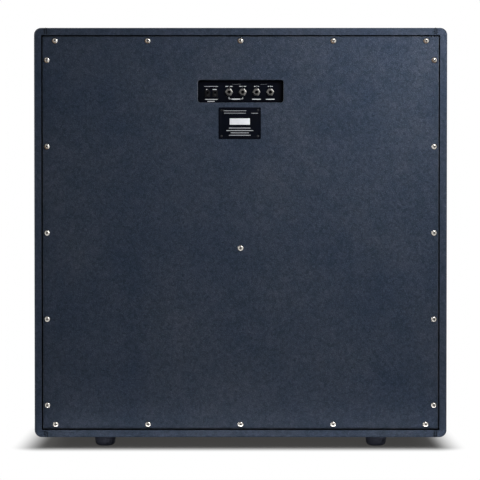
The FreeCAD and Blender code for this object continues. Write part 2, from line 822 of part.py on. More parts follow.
# Jack plate and its screws
def make_jack_plate():
    blank = block(
        "plate_blank",
        both("jack_opening_width / 2 + jack_plate_margin"),
        (PLATE_BACK, PANEL_BACK),
        around(JACK_RISE, "(jack_opening_height / 2 + jack_plate_margin)"),
    )
    past = (f"({PLATE_BACK} - overrun)", f"({PANEL_BACK} + overrun)")
    cuts = holes("bush_hole", "jack_bush_radius + thread_gap", "y", past, jack_places())
    cuts += holes("plate_hole", "plate_screw_radius + fit_gap", "y", past, PLATE_SCREWS)
    for x, z in switch_places():
        width, height = f"({SWITCH_X} + fit_gap)", f"({SWITCH_Z} + fit_gap)"
        cuts.append(block("switch_window", around(x, width), past, around(z, height)))
    node(cut("jack_plate", blank, *cuts), "jack_plate")
    screw = crossed(
        "plate_screw",
        domed_screw("plate_screw_blank", "plate_screw", "jack_plate_thickness + plate_screw_bite"),
        "plate_screw_head_height",
        "plate_screw_radius / 2",
        "plate_screw_head_radius",
        "plate_screw_head_height / 2",
    )
    inwards = ((0, 0, 1), 180)
    placed = copies("plate_fixing", screw, PLATE_SCREWS, PLATE_BACK, inwards)
    node(gather("jack_plate_screws", placed), "jack_plate_screws")


# Jack sockets, made with the origin where the body meets the plate
TRUNNION_Y = "(-jack_body_depth + jack_rear_wall + trunnion_setback)"
BUSH_END = "(jack_plate_thickness + jack_bush_reach)"
CAVITY_X = "(jack_body_width / 2 - jack_side_wall)"
CAVITY_ROOF = "(jack_body_height / 2 - jack_roof)"
CAVITY_FLOOR = "(-jack_body_height / 2 + jack_floor)"
CONTACT_Z = f"({CAVITY_ROOF} - contact_headroom)"


def jack_master():
    """The moulded body with its threaded bush, plug bore, contact cavity and trunnion seats."""
    half_height = "jack_body_height / 2"
    body = block("jack_body", both("jack_body_width / 2"), ("-jack_body_depth", "0"), both(half_height))
    bush = rod("jack_bush", "jack_bush_radius", "y", ("-jack_front_wall", BUSH_END), AXIS)
    bore_y = ("-jack_front_wall - overrun", f"{BUSH_END} + overrun")
    bore = rod("jack_bore", "jack_bore_radius", "y", bore_y, AXIS)
    inside = ("(-jack_body_depth + jack_rear_wall)", "-jack_front_wall")
    cavity = block("jack_cavity", both(CAVITY_X), inside, (CAVITY_FLOOR, CAVITY_ROOF))
    seat_x = both(f"({CAVITY_X} + trunnion_reach + thread_gap)")
    seat = rod("trunnion_seat", "trunnion_radius + thread_gap", "x", seat_x, (TRUNNION_Y, CONTACT_Z))
    return cut("jack_master", fuse("jack_solid", body, bush), bore, cavity, seat)


def contact_master():
    """The tip contact: a bent leaf that turns on a trunnion at its rear end."""
    half = "contact_thickness / 2"
    tip = "(-jack_front_wall - contact_front_gap)"
    after, before = f"({tip} - contact_tip_run)", f"({tip} - contact_tip_run - 2 * contact_bump_run)"
    crest = f"({tip} - contact_tip_run - contact_bump_run)"
    line = [(TRUNNION_Y, "0"), (before, "0"), (crest, "contact_bump"), (after, "0"), (tip, "0")]
    upper = [(y, f"({CONTACT_Z} + {half} - {drop})") for y, drop in line]
    lower = [(y, f"({CONTACT_Z} - {half} - {drop})") for y, drop in reversed(line)]
    leaf = padded("contact_leaf", upper + lower, "YZ_Plane", "contact_width")
    put(leaf, "-contact_width / 2")
    reach = both(f"({CAVITY_X} + trunnion_reach)")
    pin = rod("contact_trunnion", "trunnion_radius", "x", reach, (TRUNNION_Y, CONTACT_Z))
    return fuse("contact_master", leaf, pin)


def make_jacks():
    socket, contact = jack_master(), contact_master()
    corner = "(jack_nut_flats / sqrt(3))"
    half = "(jack_nut_flats / 2)"
    hexagon = [(corner, "0"), (f"{corner} / 2", half), (f"-{corner} / 2", half)]
    hexagon += [(f"-({x})", f"-({z})") for x, z in hexagon]
    nut_blank = padded("nut_blank", hexagon, "XZ_Plane", "jack_nut_thickness")
    eye_y = ("-overrun", "jack_nut_thickness + jack_washer_thickness + overrun")
    nut_eye = rod("nut_eye", "jack_bush_radius + thread_gap", "y", eye_y, AXIS)
    washer_blank = rod("washer_blank", "jack_washer_radius", "y", ("0", "jack_washer_thickness"), AXIS)
    nut, washer = cut("nut_master", nut_blank, nut_eye), cut("washer_master", washer_blank, nut_eye)
    places = jack_places()
    sockets = copies("socket", socket, places, PLATE_BACK)
    node(gather("jack_sockets", sockets), "jack_sockets")
    nut_seat = f"({PANEL_BACK} + jack_washer_thickness)"
    node(gather("jack_nuts", copies("nut", nut, places, nut_seat)), "jack_nuts")
    node(gather("jack_washers", copies("washer", washer, places, PANEL_BACK)), "jack_washers")
    for number, (x, z) in enumerate(places, start=1):
        label = f"jack_contact_{number}"
        node(gather(label, [copy_of(f"{label}_copy", contact, x, PLATE_BACK, z)]), label)


# Slide switches, made with the origin on the plate's outer face
LEVER_LOW = "(-(switch_lever_height + switch_travel) / 2)"
SLOT_HALF = "((switch_lever_height + switch_travel + switch_play) / 2)"
SWITCH_X = "((switch_lever_width + switch_play) / 2 + switch_lever_ledge + switch_cheek)"
SWITCH_Z = f"({SLOT_HALF} + switch_lever_ledge + switch_end_wall)"
LEVER_BASE_Y = (
    "(-switch_body_depth + switch_rear_wall + switch_play)",
    "(-switch_front_wall - switch_play)",
)


def switch_housing():
    """Bezel and body in one moulding, with a slot in front and a wider cavity behind it."""
    bezel_y = ("0", "switch_bezel_thickness")
    bezel_x, bezel_z = both(f"({SWITCH_X} + switch_bezel_rim)"), both(f"({SWITCH_Z} + switch_bezel_rim)")
    bezel = block("switch_bezel", bezel_x, bezel_y, bezel_z)
    depth = ("-switch_body_depth", "switch_bezel_thickness")
    body = block("switch_body", both(SWITCH_X), depth, both(SWITCH_Z))
    slot_y = ("-switch_front_wall - overrun", "switch_bezel_thickness + overrun")
    slot_x = both("((switch_lever_width + switch_play) / 2)")
    slot = block("switch_slot", slot_x, slot_y, both(SLOT_HALF))
    cavity_y = ("(-switch_body_depth + switch_rear_wall)", "-switch_front_wall")
    cavity_x = both("((switch_lever_width + switch_play) / 2 + switch_lever_ledge)")
    cavity = block("switch_cavity", cavity_x, cavity_y, both(f"({SLOT_HALF} + switch_lever_ledge)"))
    return cut("switch_master", fuse("switch_solid", bezel, body), slot, cavity)


def switch_lever():
    """The lever at the lower end of its travel: a stem in the slot on a wider base in the cavity."""
    stem_y = (LEVER_BASE_Y[0], "(switch_bezel_thickness + switch_lever_reach)")
    high = f"({LEVER_LOW} + switch_lever_height)"
    stem = block("lever_stem", both("switch_lever_width / 2"), stem_y, (LEVER_LOW, high))
    base_z = (f"({LEVER_LOW} - switch_lever_ledge)", f"({high} + switch_lever_ledge)")
    base = block("lever_base", both("(switch_lever_width / 2 + switch_lever_ledge)"), LEVER_BASE_Y, base_z)
    return fuse("lever_master", stem, base)


def make_switches():
    housing, lever = switch_housing(), switch_lever()
    places = switch_places()
    placed = copies("switch", housing, places, PANEL_BACK)
    node(gather("slide_switch_housings", placed), "slide_switch_housings")
    for number, (x, z) in enumerate(places, start=1):
        label = f"slide_switch_lever_{number}"
        node(gather(label, [copy_of(f"{label}_copy", lever, x, PANEL_BACK, z)]), label)


# Feet
def make_feet():
    points = [
        ("foot_screw_radius + fit_gap", "foot_sole"),
        ("foot_screw_head_radius + foot_recess_gap", "foot_sole"),
        ("foot_screw_head_radius + foot_recess_gap", "0"),
        ("foot_radius - foot_taper - foot_edge_radius", "0", "foot_edge_radius"),
        ("foot_radius - foot_taper", "foot_edge_radius"),
        ("foot_radius", "foot_height"),
        ("foot_screw_radius + fit_gap", "foot_height"),
    ]
    foot = revolved("foot_master", points, "XZ_Plane")
    node(gather("feet", [copy_of("foot", foot, x, y) for x, y in FOOT_PLACES]), "feet")
    reach = "foot_height - foot_sole + vinyl + glue_gap + foot_screw_bite"
    screw = crossed(
        "foot_screw",
        domed_screw("foot_screw_blank", "foot_screw", reach),
        "foot_screw_head_height",
        "foot_screw_radius / 2",
        "foot_screw_head_radius",
        "foot_screw_head_height / 2",
    )
    downwards = ((1, 0, 0), -90)
    placed = [copy_of("foot_fixing", screw, x, y, "foot_sole", downwards) for x, y in FOOT_PLACES]
    node(gather("foot_screws", placed), "foot_screws")


# Grille frame, cloth and piping
def make_grille():
    gap = "(vinyl + grille_gap)"
    cloth_x, cloth_z = f"({INNER_X} - {gap})", f"({INNER_Z} - {gap})"
    rail_x, rail_z = f"({cloth_x} - grille_cloth_thickness)", f"({cloth_z} - grille_cloth_thickness)"
    rail_y = (f"({CLOTH_FACE} + grille_cloth_thickness)", BAFFLE_FACE)
    low, high = around(MIDDLE, rail_z)
    inside = (f"({low} + grille_rail_width)", f"({high} - grille_rail_width)")
    rails = [
        block("rail_low", both(rail_x), rail_y, (low, inside[0])),
        block("rail_high", both(rail_x), rail_y, (inside[1], high)),
        block("rail_left", (f"-{rail_x}", f"(-{rail_x} + grille_rail_width)"), rail_y, inside),
        block("rail_right", (f"({rail_x} - grille_rail_width)", rail_x), rail_y, inside),
    ]
    node(gather("grille_frame", rails), "grille_frame")
    sheet_blank = block("cloth_blank", both(cloth_x), (CLOTH_FACE, BAFFLE_FACE), around(MIDDLE, cloth_z))
    hollow_y = (rail_y[0], f"({BAFFLE_FACE} + overrun)")
    hollow = block("cloth_hollow", both(rail_x), hollow_y, around(MIDDLE, rail_z))
    node(cut("grille_cloth", sheet_blank, hollow), "grille_cloth")
    inset = "vinyl - piping_radius - fit_gap"
    make_piping(f"({INNER_X} - {inset})", f"({INNER_Z} - {inset})")


def make_piping(half_x, half_z):
    """A round cord laid against the lining, in front of the cloth's edge."""
    y = f"({CLOTH_FACE} - piping_radius - fit_gap)"
    pieces = [rod("piping_run", "piping_radius", "x", both(half_x), (y, z)) for z in around(MIDDLE, half_z)]
    rise = around(MIDDLE, half_z)
    pieces += [rod("piping_rise", "piping_radius", "z", rise, (x, y)) for x in both(half_x)]
    for x in both(half_x):
        for z in around(MIDDLE, half_z):
            ball = doc.addObject("Part::Sphere", "piping_corner")
            bind(ball, "Radius", "piping_radius")
            pieces.append(put(ball, x, y, z))
    node(fuse("grille_piping", *pieces), "grille_piping")


# Radii and depths of a driver, from its axis and from the baffle's rear face. Two flanges fill the space
# between the front cleats, less a margin at each cleat and the gap between the drivers.
SPEAKER_SPACE = f"(min({INNER_X}; {INNER_Z}) - cleat_width - speaker_margin - speaker_gap / 2)"
FLANGE_RADIUS = f"({SPEAKER_SPACE} / 2)"
LIP_RADIUS = f"({FLANGE_RADIUS} - flange_margin)"
GASKET_INNER = f"({LIP_RADIUS} - lip_width)"
CONE_RADIUS = f"({GASKET_INNER} - surround_width)"
BOLT_CIRCLE = f"({FLANGE_RADIUS} - flange_margin / 2)"
CUTOUT_RADIUS = f"({GASKET_INNER} + cutout_relief)"
BOWL_RADIUS = f"({GASKET_INNER} - bowl_setback)"
LEDGE_OUTER = "(ledge_inner_radius + ledge_width)"
BARREL_RADIUS = "(bolt_radius + tee_nut_wall)"
SPEAKER_HALF_PITCH = f"({FLANGE_RADIUS} + speaker_gap / 2)"
SEAT_DEPTH = "(ledge_depth + seat_drop)"
FLANGE_BACK = "(gasket_thickness + basket_sheet)"
SEAT_BACK = f"({SEAT_DEPTH} + basket_sheet)"
FRONT_PLATE_BACK = f"({SEAT_BACK} + front_plate_thickness)"
MAGNET_BACK = f"({FRONT_PLATE_BACK} + magnet_thickness)"
FORMER_RADIUS = "(coil_inner_radius + former_sheet)"
WINDING_RADIUS = f"({FORMER_RADIUS} + winding_thickness)"
GAP_RADIUS = f"({WINDING_RADIUS} + coil_gap)"
POLE_RADIUS = "(coil_inner_radius - coil_gap)"
NECK_RADIUS = f"({FORMER_RADIUS} + thread_gap)"
NECK_DEPTH = "(ledge_depth - neck_setback)"
SLOPE_RADIUS = f"({CONE_RADIUS} - cone_lip)"


# Baffle board and its screws
CLEAT_MIDDLE = "cleat_width / 2"
BAFFLE_SCREW_PLACES = corner_places(
    "0",
    f"({INNER_X} - baffle_screw_corner)",
    MIDDLE,
    f"({INNER_Z} - {CLEAT_MIDDLE})",
) + corner_places("0", f"({INNER_X} - {CLEAT_MIDDLE})", MIDDLE, f"({INNER_Z} - baffle_screw_corner)")
FORWARDS = ((0, 0, 1), 180)


def baffle_screw_copies(name, gap):
    """The baffle screws or, with a gap, the holes that take them."""
    master = countersunk(f"{name}_master", "baffle_screw", gap)
    if gap == "0":
        size = ("0", "baffle_screw_radius / 2", "baffle_screw_head_radius", "baffle_screw_head_height / 2")
        master = crossed(f"{name}_crossed", master, *size)
    placed = copies(name, master, BAFFLE_SCREW_PLACES, BAFFLE_FACE, FORWARDS)
    return gather(f"{name}_copies", placed)


def speaker_places():
    """X and Z of each driver's axis, by its number."""
    return {
        number: (f"({side} * {SPEAKER_HALF_PITCH})", f"({MIDDLE} + ({rise}) * {SPEAKER_HALF_PITCH})")
        for number, (side, rise) in SPEAKERS.items()
    }


def bolt_places():
    """X and Z of every driver bolt, on the diagonals of its driver."""
    reach = f"{BOLT_CIRCLE} / sqrt(2)"
    return [place for x, z in speaker_places().values() for place in corner_places(x, reach, z, reach)]


def make_baffle():
    y = (BAFFLE_FACE, BAFFLE_BACK)
    past = (f"({BAFFLE_FACE} - overrun)", f"({BAFFLE_BACK} + overrun)")
    half_x, half_z = f"({INNER_X} - fit_gap)", f"({INNER_Z} - fit_gap)"
    blank = block("baffle_blank", both(half_x), y, around(MIDDLE, half_z))
    cuts = holes("speaker_cutout", CUTOUT_RADIUS, "y", past, speaker_places().values())
    cuts += holes("tee_nut_hole", f"{BARREL_RADIUS} + thread_gap", "y", past, bolt_places())
    cuts.append(baffle_screw_copies("baffle_sink", "thread_gap"))
    node(cut("baffle_board", blank, *cuts), "baffle_board")
    node(baffle_screw_copies("baffle_fixing", "0"), "baffle_screws")


# Drivers, made with the axis on Y and the origin in the baffle's rear face
def basket_master():
    """Pressed basket: flange, bowl, legs between windows, spider ledge and magnet seat."""
    points = [
        (FLANGE_RADIUS, "gasket_thickness"),
        (FLANGE_RADIUS, FLANGE_BACK),
        (f"{BOWL_RADIUS} + basket_sheet", FLANGE_BACK),
        (f"{BOWL_RADIUS} + basket_sheet", "bowl_depth + basket_sheet"),
        (f"{LEDGE_OUTER} + basket_sheet", "ledge_depth + basket_sheet"),
        ("ledge_inner_radius + basket_sheet", "ledge_depth + basket_sheet"),
        ("ledge_inner_radius + basket_sheet", SEAT_BACK),
        (f"{GAP_RADIUS} + seat_hole_margin", SEAT_BACK),
        (f"{GAP_RADIUS} + seat_hole_margin", SEAT_DEPTH),
        ("ledge_inner_radius", SEAT_DEPTH),
        ("ledge_inner_radius", "ledge_depth"),
        (LEDGE_OUTER, "ledge_depth"),
        (BOWL_RADIUS, "bowl_depth"),
        (BOWL_RADIUS, "gasket_thickness"),
    ]
    body = revolved("basket_body", points)
    window_cut(body)
    span = ("gasket_thickness - overrun", f"{FLANGE_BACK} + overrun")
    return cut("basket_master", body, *bolt_holes("flange_hole", span))


def bolt_holes(name, span):
    """The holes for one driver's bolts, about its own axis."""
    reach = f"{BOLT_CIRCLE} / sqrt(2)"
    return holes(name, "bolt_radius + fit_gap", "y", span, corner_places("0", reach, "0", reach))


def window_cut(body):
    """Cuts one window through the slope of the basket and repeats it round the axis."""
    doc.recompute()
    whole = body.Shape.Volume
    sketch = new_sketch(body, "basket_window", "XZ_Plane")
    wide, narrow = f"({BOWL_RADIUS} - window_margin)", f"({LEDGE_OUTER} + window_margin)"
    across, up = "cos(window_half_angle)", "sin(window_half_angle)"
    points = [
        (f"{narrow} * {across}", f"-{narrow} * {up}"),
        (f"{wide} * {across}", f"-{wide} * {up}", wide),
        (f"{wide} * {across}", f"{wide} * {up}"),
        (f"{narrow} * {across}", f"{narrow} * {up}"),
    ]
    outline(sketch, points)
    pocket = body.newObject("PartDesign::Pocket", "basket_window_cut")
    pocket.Profile = sketch
    pocket.Type = "ThroughAll"
    pocket.Midplane = True
    ring = body.newObject("PartDesign::PolarPattern", "basket_windows")
    ring.Originals = [pocket]
    ring.Axis = (sketch, ["N_Axis"])
    ring.Angle = 360
    ring.Occurrences = WINDOWS
    body.Tip = ring
    doc.recompute()
    if body.Shape.Volume >= whole:
        raise ValueError("the basket windows cut nothing")


def ring_master(name, inner, outer, span):
    """A plain ring about the driver's axis."""
    past = (f"({span[0]} - overrun)", f"({span[1]} + overrun)")
    disc, eye = rod(f"{name}_disc", outer, "y", span, AXIS), rod(f"{name}_eye", inner, "y", past, AXIS)
    return cut(name, disc, eye)


def pole_master():
    """Back plate and pole in one piece, with a vent on the axis."""
    plate_y = (MAGNET_BACK, f"({MAGNET_BACK} + back_plate_thickness)")
    plate = rod("pole_plate", "back_plate_radius", "y", plate_y, AXIS)
    pole = rod("pole_core", POLE_RADIUS, "y", (SEAT_BACK, plate_y[1]), AXIS)
    past = (f"({SEAT_BACK} - overrun)", f"({plate_y[1]} + overrun)")
    vent = rod("pole_vent", "vent_radius", "y", past, AXIS)
    return cut("pole_master", fuse("pole_solid", plate, pole), vent)


def gasket_master():
    """Front gasket: it clamps the surround's lip inside and seats on the flange outside."""
    points = [
        (GASKET_INNER, "0"),
        (FLANGE_RADIUS, "0"),
        (FLANGE_RADIUS, "gasket_thickness"),
        (f"{LIP_RADIUS} + fit_gap", "gasket_thickness"),
        (f"{LIP_RADIUS} + fit_gap", "gasket_thickness - lip_thickness"),
        (GASKET_INNER, "gasket_thickness - lip_thickness"),
    ]
    span = ("-overrun", "gasket_thickness + overrun")
    return cut("gasket_master", revolved("gasket_body", points), *bolt_holes("gasket_hole", span))


def cone_master():
    """Straight-sided paper cone with a flat outer lip and a collar on the coil former."""
    collar_end = f"({NECK_DEPTH} + neck_collar)"
    points = [
        (CONE_RADIUS, "gasket_thickness"),
        (CONE_RADIUS, "gasket_thickness + cone_sheet"),
        (SLOPE_RADIUS, "gasket_thickness + 2 * cone_sheet"),
        (f"{NECK_RADIUS} + cone_sheet", f"{NECK_DEPTH} + cone_sheet"),
        (f"{NECK_RADIUS} + cone_sheet", collar_end),
        (NECK_RADIUS, collar_end),
        (NECK_RADIUS, NECK_DEPTH),
        (SLOPE_RADIUS, "gasket_thickness"),
    ]
    return revolved("cone_master", points)


def dust_cap_master():
    """Domed cap whose rim rests on the front of the cone."""
    slope = f"(({NECK_DEPTH} - gasket_thickness) / ({SLOPE_RADIUS} - {NECK_RADIUS}))"
    rim = f"(gasket_thickness + ({SLOPE_RADIUS} - dust_cap_radius) * {slope} - thread_gap)"
    outer = "((dust_cap_radius^2 + dust_cap_rise^2) / (2 * dust_cap_rise))"
    inside, inner_rise = "(dust_cap_radius - dust_cap_sheet)", "(dust_cap_rise - dust_cap_sheet)"
    inner = f"(({inside}^2 + {inner_rise}^2) / (2 * {inner_rise}))"
    points = [
        ("0", f"{rim} - dust_cap_rise", outer),
        ("dust_cap_radius", rim),
        (inside, rim, f"-{inner}"),
        ("0", f"{rim} - {inner_rise}"),
    ]
    return revolved("dust_cap_master", points)


def coil_master():
    """Coil former with its winding, centred on the front plate."""
    middle = f"(({SEAT_BACK} + {FRONT_PLATE_BACK}) / 2)"
    low, high = around(middle, "winding_height / 2")
    points = [
        ("coil_inner_radius", NECK_DEPTH),
        (FORMER_RADIUS, NECK_DEPTH),
        (FORMER_RADIUS, low),
        (WINDING_RADIUS, low),
        (WINDING_RADIUS, high),
        ("coil_inner_radius", high),
    ]
    return revolved("coil_master", points)


def waved(name, inner, first, last, outer, level, sheet_thickness, height, count):
    """A corrugated ring between two flat lips, from its inner to its outer radius."""
    steps = 2 * count
    line = [(inner, "0"), (first, "0")]
    for i in range(1, steps):
        share = i / steps
        line.append((f"({first} + {share} * ({last} - ({first})))", f"{'-' if i % 2 else ''}{height}"))
    line += [(last, "0"), (outer, "0")]
    front = [(r, f"({level} - {sheet_thickness} + ({wave}))") for r, wave in line]
    rear = [(r, f"({level} + ({wave}))") for r, wave in reversed(line)]
    return revolved(name, front + rear)


def suspension_masters():
    """Surround from the cone's lip to the flange, and spider from the former to the ledge."""
    surround = waved(
        "surround_master",
        SLOPE_RADIUS,
        CONE_RADIUS,
        GASKET_INNER,
        LIP_RADIUS,
        "gasket_thickness",
        "lip_thickness",
        "surround_wave",
        SURROUND_WAVES,
    )
    spider_rim = f"({LEDGE_OUTER} - spider_margin)"
    spider = waved(
        "spider_master",
        f"({FORMER_RADIUS} + fit_gap)",
        f"({FORMER_RADIUS} + fit_gap + spider_collar)",
        "ledge_inner_radius",
        spider_rim,
        "ledge_depth",
        "spider_sheet",
        "spider_wave",
        SPIDER_WAVES,
    )
    return surround, spider


TERMINAL_FACE = "(ledge_inner_radius + basket_sheet + terminal_reach)"
TERMINAL_Y = around(f"((ledge_depth + basket_sheet + {SEAT_DEPTH}) / 2)", "terminal_length / 2")


def terminal_master():
    """Terminal block on the neck of the basket, on the -X side."""
    x = (f"-{TERMINAL_FACE}", "-ledge_inner_radius")
    blank = block("terminal_blank", x, TERMINAL_Y, both("terminal_width / 2"))
    past = (f"({TERMINAL_Y[0]} - overrun)", f"({TERMINAL_Y[1]} + overrun)")
    bed = rod("terminal_bed", "ledge_inner_radius + basket_sheet + thread_gap", "y", past, AXIS)
    return cut("terminal_master", blank, bed)


def bolt_masters():
    """A driver bolt facing the rear, and the tee nut that it meets in the baffle's front."""
    reach = f"({FLANGE_BACK} + baffle_thickness + tee_nut_thickness + bolt_tail)"
    bolt = crossed(
        "bolt_master",
        domed_screw("bolt_blank", "bolt", reach),
        "bolt_head_height",
        "bolt_radius / 2",
        "bolt_head_radius",
        "bolt_head_height / 2",
    )
    flange = rod("tee_flange", f"{BARREL_RADIUS} + tee_nut_flange", "y", ("-tee_nut_thickness", "0"), AXIS)
    barrel = rod("tee_barrel", BARREL_RADIUS, "y", ("-tee_nut_thickness", "tee_nut_barrel_length"), AXIS)
    past = ("-tee_nut_thickness - overrun", "tee_nut_barrel_length + overrun")
    eye = rod("tee_eye", "bolt_radius + thread_gap", "y", past, AXIS)
    return bolt, cut("tee_master", fuse("tee_solid", flange, barrel), eye)


def make_speakers():
    places = speaker_places()
    shared = {
        "speaker_magnets": ring_master(
            "magnet_master", "magnet_bore_radius", "magnet_radius", (FRONT_PLATE_BACK, MAGNET_BACK)
        ),
        "speaker_front_plates": ring_master(
            "front_plate_master", GAP_RADIUS, "front_plate_radius", (SEAT_BACK, FRONT_PLATE_BACK)
        ),
        "speaker_pole_plates": pole_master(),
        "speaker_gaskets": gasket_master(),
        "speaker_terminals": terminal_master(),
    }
    for label, master in shared.items():
        placed = []
        for number, (x, z) in places.items():
            turn = ((0, 1, 0), 180) if SPEAKERS[number][0] < 0 else None
            placed.append(copy_of(f"{label}_copy", master, x, BAFFLE_BACK, z, turn))
        node(gather(label, placed), label)
    own = {
        "basket": [basket_master()],
        "suspension": list(suspension_masters()),
        "cone": [cone_master(), dust_cap_master()],
        "voice_coil": [coil_master()],
    }
    for piece, masters in own.items():
        for number, (x, z) in places.items():
            label = f"speaker_{number}_{piece}"
            node(gather(label, [copy_of(f"{label}_copy", m, x, BAFFLE_BACK, z) for m in masters]), label)
    bolt, tee_nut = bolt_masters()
    bolt_seat = f"({BAFFLE_BACK} + {FLANGE_BACK})"
    node(gather("speaker_bolts", copies("bolt", bolt, bolt_places(), bolt_seat)), "speaker_bolts")
    nuts = copies("tee_nut", tee_nut, bolt_places(), BAFFLE_FACE)
    node(gather("tee_nuts", nuts), "tee_nuts")


# Speaker cables: straight runs joined by arcs as large as the runs allow
BEND_SHARE = 0.45
DRIFT_SHARE = 0.01


def bent_path(points):
    """A wire along the points, with each corner rounded by a tangent arc."""
    edges, start = [], points[0]
    for before, corner, after in zip(points, points[1:], points[2:]):
        back, forth = before - corner, after - corner
        reach = BEND_SHARE * min(back.Length, forth.Length)
        inward, outward = back.normalize(), forth.normalize()
        first, last = corner + inward * reach, corner + outward * reach
        half_turn = inward.getAngle(outward) / 2
        bisector = (inward + outward).normalize()
        radius = reach * math.tan(half_turn)
        depth = (reach**2 + radius**2) ** 0.5 - radius
        edges.append(Part.LineSegment(start, first).toShape())
        edges.append(Part.Arc(first, corner + bisector * depth, last).toShape())
        start = last
    edges.append(Part.LineSegment(start, points[-1]).toShape())
    return Part.Wire(edges)


def cable(number, jack):
    """The tube from one driver's terminal block to the rear of one jack."""
    side, rise = SPEAKERS[number]
    x, z = (value(text) for text in speaker_places()[number])
    terminal_y = value(BAFFLE_BACK) + (value(TERMINAL_Y[0]) + value(TERMINAL_Y[1])) / 2
    start = FreeCAD.Vector(x - side * value(TERMINAL_FACE), terminal_y, z)
    jack_x, jack_z = (value(text) for text in jack)
    end = FreeCAD.Vector(jack_x, value(f"{PLATE_BACK} - jack_body_depth"), jack_z)
    lead, column = value("cable_lead"), side * value("cable_column")
    leave = FreeCAD.Vector(column, start.y, start.z)
    turn = FreeCAD.Vector(column, start.y + lead, start.z + rise * lead)
    arrive = FreeCAD.Vector(end.x, end.y - lead, end.z)
    points = [start, leave, turn, arrive, end]
    if rise < 0:
        turn = FreeCAD.Vector(column, start.y + lead, start.z + lead)
        climb = FreeCAD.Vector(column, turn.y, end.z - 2 * lead)
        points = [start, leave, turn, climb, arrive, end]
    path = bent_path(points)
    section = Part.Wire(Part.makeCircle(value("cable_radius"), start, FreeCAD.Vector(side, 0, 0)))
    tube = path.makePipeShell([section], True, False)
    drift = abs(tube.Volume / (section.Length * value("cable_radius") / 2 * path.Length) - 1)
    if drift > DRIFT_SHARE:
        raise ValueError(f"cable {number} has the wrong volume")
    made = doc.addObject("Part::Feature", f"cable_{number}")
    made.Shape = tube
    return made


def make_cables():
    order = {2: 0, 1: 2, 4: 1, 3: 3}
    cables = [cable(number, jack_places()[order[number]]) for number in SPEAKERS]
    node(gather("speaker_cables", cables), "speaker_cables")


def check_and_write():
    """Stops at any failed object, then writes each piece to its own file."""
    failed = [thing.Label for thing in doc.Objects if {"Invalid", "Error"} & set(thing.State)]
    if failed:
        raise ValueError(f"failed objects: {failed}")
    for piece in NODES:
        if piece.Shape.isNull() or not piece.Shape.isValid() or not piece.Shape.Solids:
            raise ValueError(f"{piece.Label} has no valid solid")
    os.makedirs("parts", exist_ok=True)
    for piece in NODES:
        piece.Shape.exportStep(f"parts/{piece.Label}.step")


def main():
    make_carcass(rounded_block("wood_block", "vinyl + glue_gap"))
    make_vinyl_wrap()
    make_handles()
    make_supports()
    make_back_panel()
    make_rating_plate()
    make_jack_plate()
    make_jacks()
    make_switches()
    make_feet()
    make_grille()
    make_baffle()
    make_speakers()
    make_cables()
    doc.recompute()
    check_and_write()


main()
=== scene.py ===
import math
import random

import bmesh
import bpy
from mathutils import Matrix, Vector

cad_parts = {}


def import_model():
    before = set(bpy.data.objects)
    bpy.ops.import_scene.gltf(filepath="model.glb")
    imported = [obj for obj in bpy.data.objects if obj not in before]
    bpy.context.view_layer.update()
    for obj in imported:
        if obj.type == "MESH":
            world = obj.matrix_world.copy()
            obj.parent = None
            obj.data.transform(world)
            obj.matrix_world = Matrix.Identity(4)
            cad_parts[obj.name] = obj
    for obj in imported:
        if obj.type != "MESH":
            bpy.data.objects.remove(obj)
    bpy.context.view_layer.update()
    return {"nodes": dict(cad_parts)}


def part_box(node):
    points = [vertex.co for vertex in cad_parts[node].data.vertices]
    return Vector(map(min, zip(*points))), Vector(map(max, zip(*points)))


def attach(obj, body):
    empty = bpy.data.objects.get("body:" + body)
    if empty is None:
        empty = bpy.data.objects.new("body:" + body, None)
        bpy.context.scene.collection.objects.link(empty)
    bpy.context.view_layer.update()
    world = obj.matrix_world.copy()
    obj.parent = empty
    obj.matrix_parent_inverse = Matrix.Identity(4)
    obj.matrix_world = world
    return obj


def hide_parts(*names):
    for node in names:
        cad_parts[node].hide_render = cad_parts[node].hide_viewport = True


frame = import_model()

# Dressing of a guitar speaker cabinet: grained vinyl, plated hardware, woven grille cloth, rubber feet.
# The frame is in metres: +Y points out of the back panel, +Z is up.
# Shapes are written in millimetres. The floor, the lamps and the camera are in metres.

MM = 0.001
CABINET = "cabinet"
NODES = frame["nodes"]
WELD_GAP = 0.002
FLAT_ANGLE = math.radians(1)
SHARP_ANGLE = math.radians(32)
CREASE_ANGLE = math.radians(35)

# Places of a piece's further materials
SECOND, THIRD, FOURTH = 1, 2, 3

chance = random.Random(7)


# Mesh helpers
def linked(name, data):
    """A new object of the scene."""
    made = bpy.data.objects.new(name, data)
    bpy.context.scene.collection.objects.link(made)
    return made


def finished(name, mesh, *materials, body=CABINET, slot=None, replaces=(), smooth=True):
    """A piece made of a mesh, with its materials, its body and the CAD nodes that it stands for."""
    made = linked(name, mesh)
    for material in materials:
        mesh.materials.append(material)
    if smooth:
        mesh.shade_smooth()
        mesh.set_sharp_from_angle(angle=SHARP_ANGLE)
    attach(made, body)
    if replaces:
        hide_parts(*replaces)
    return made


def evaluated(made):
    """The mesh of an object after its modifiers."""
    bpy.context.view_layer.update()
    graph = bpy.context.evaluated_depsgraph_get()
    return bpy.data.meshes.new_from_object(made.evaluated_get(graph))


def mesh_of(shape, name):
    """Turns a bmesh into a mesh with its faces pointing outwards."""
    bmesh.ops.recalc_face_normals(shape, faces=shape.faces)
    mesh = bpy.data.meshes.new(name)
    shape.to_mesh(mesh)
    shape.free()
    return mesh


def quarter(steps):
    """The cosine and the sine at each step of a quarter turn, both ends included."""
    turns = [math.pi / 2 * i / steps for i in range(steps + 1)]
    return [(math.cos(turn), math.sin(turn)) for turn in turns]


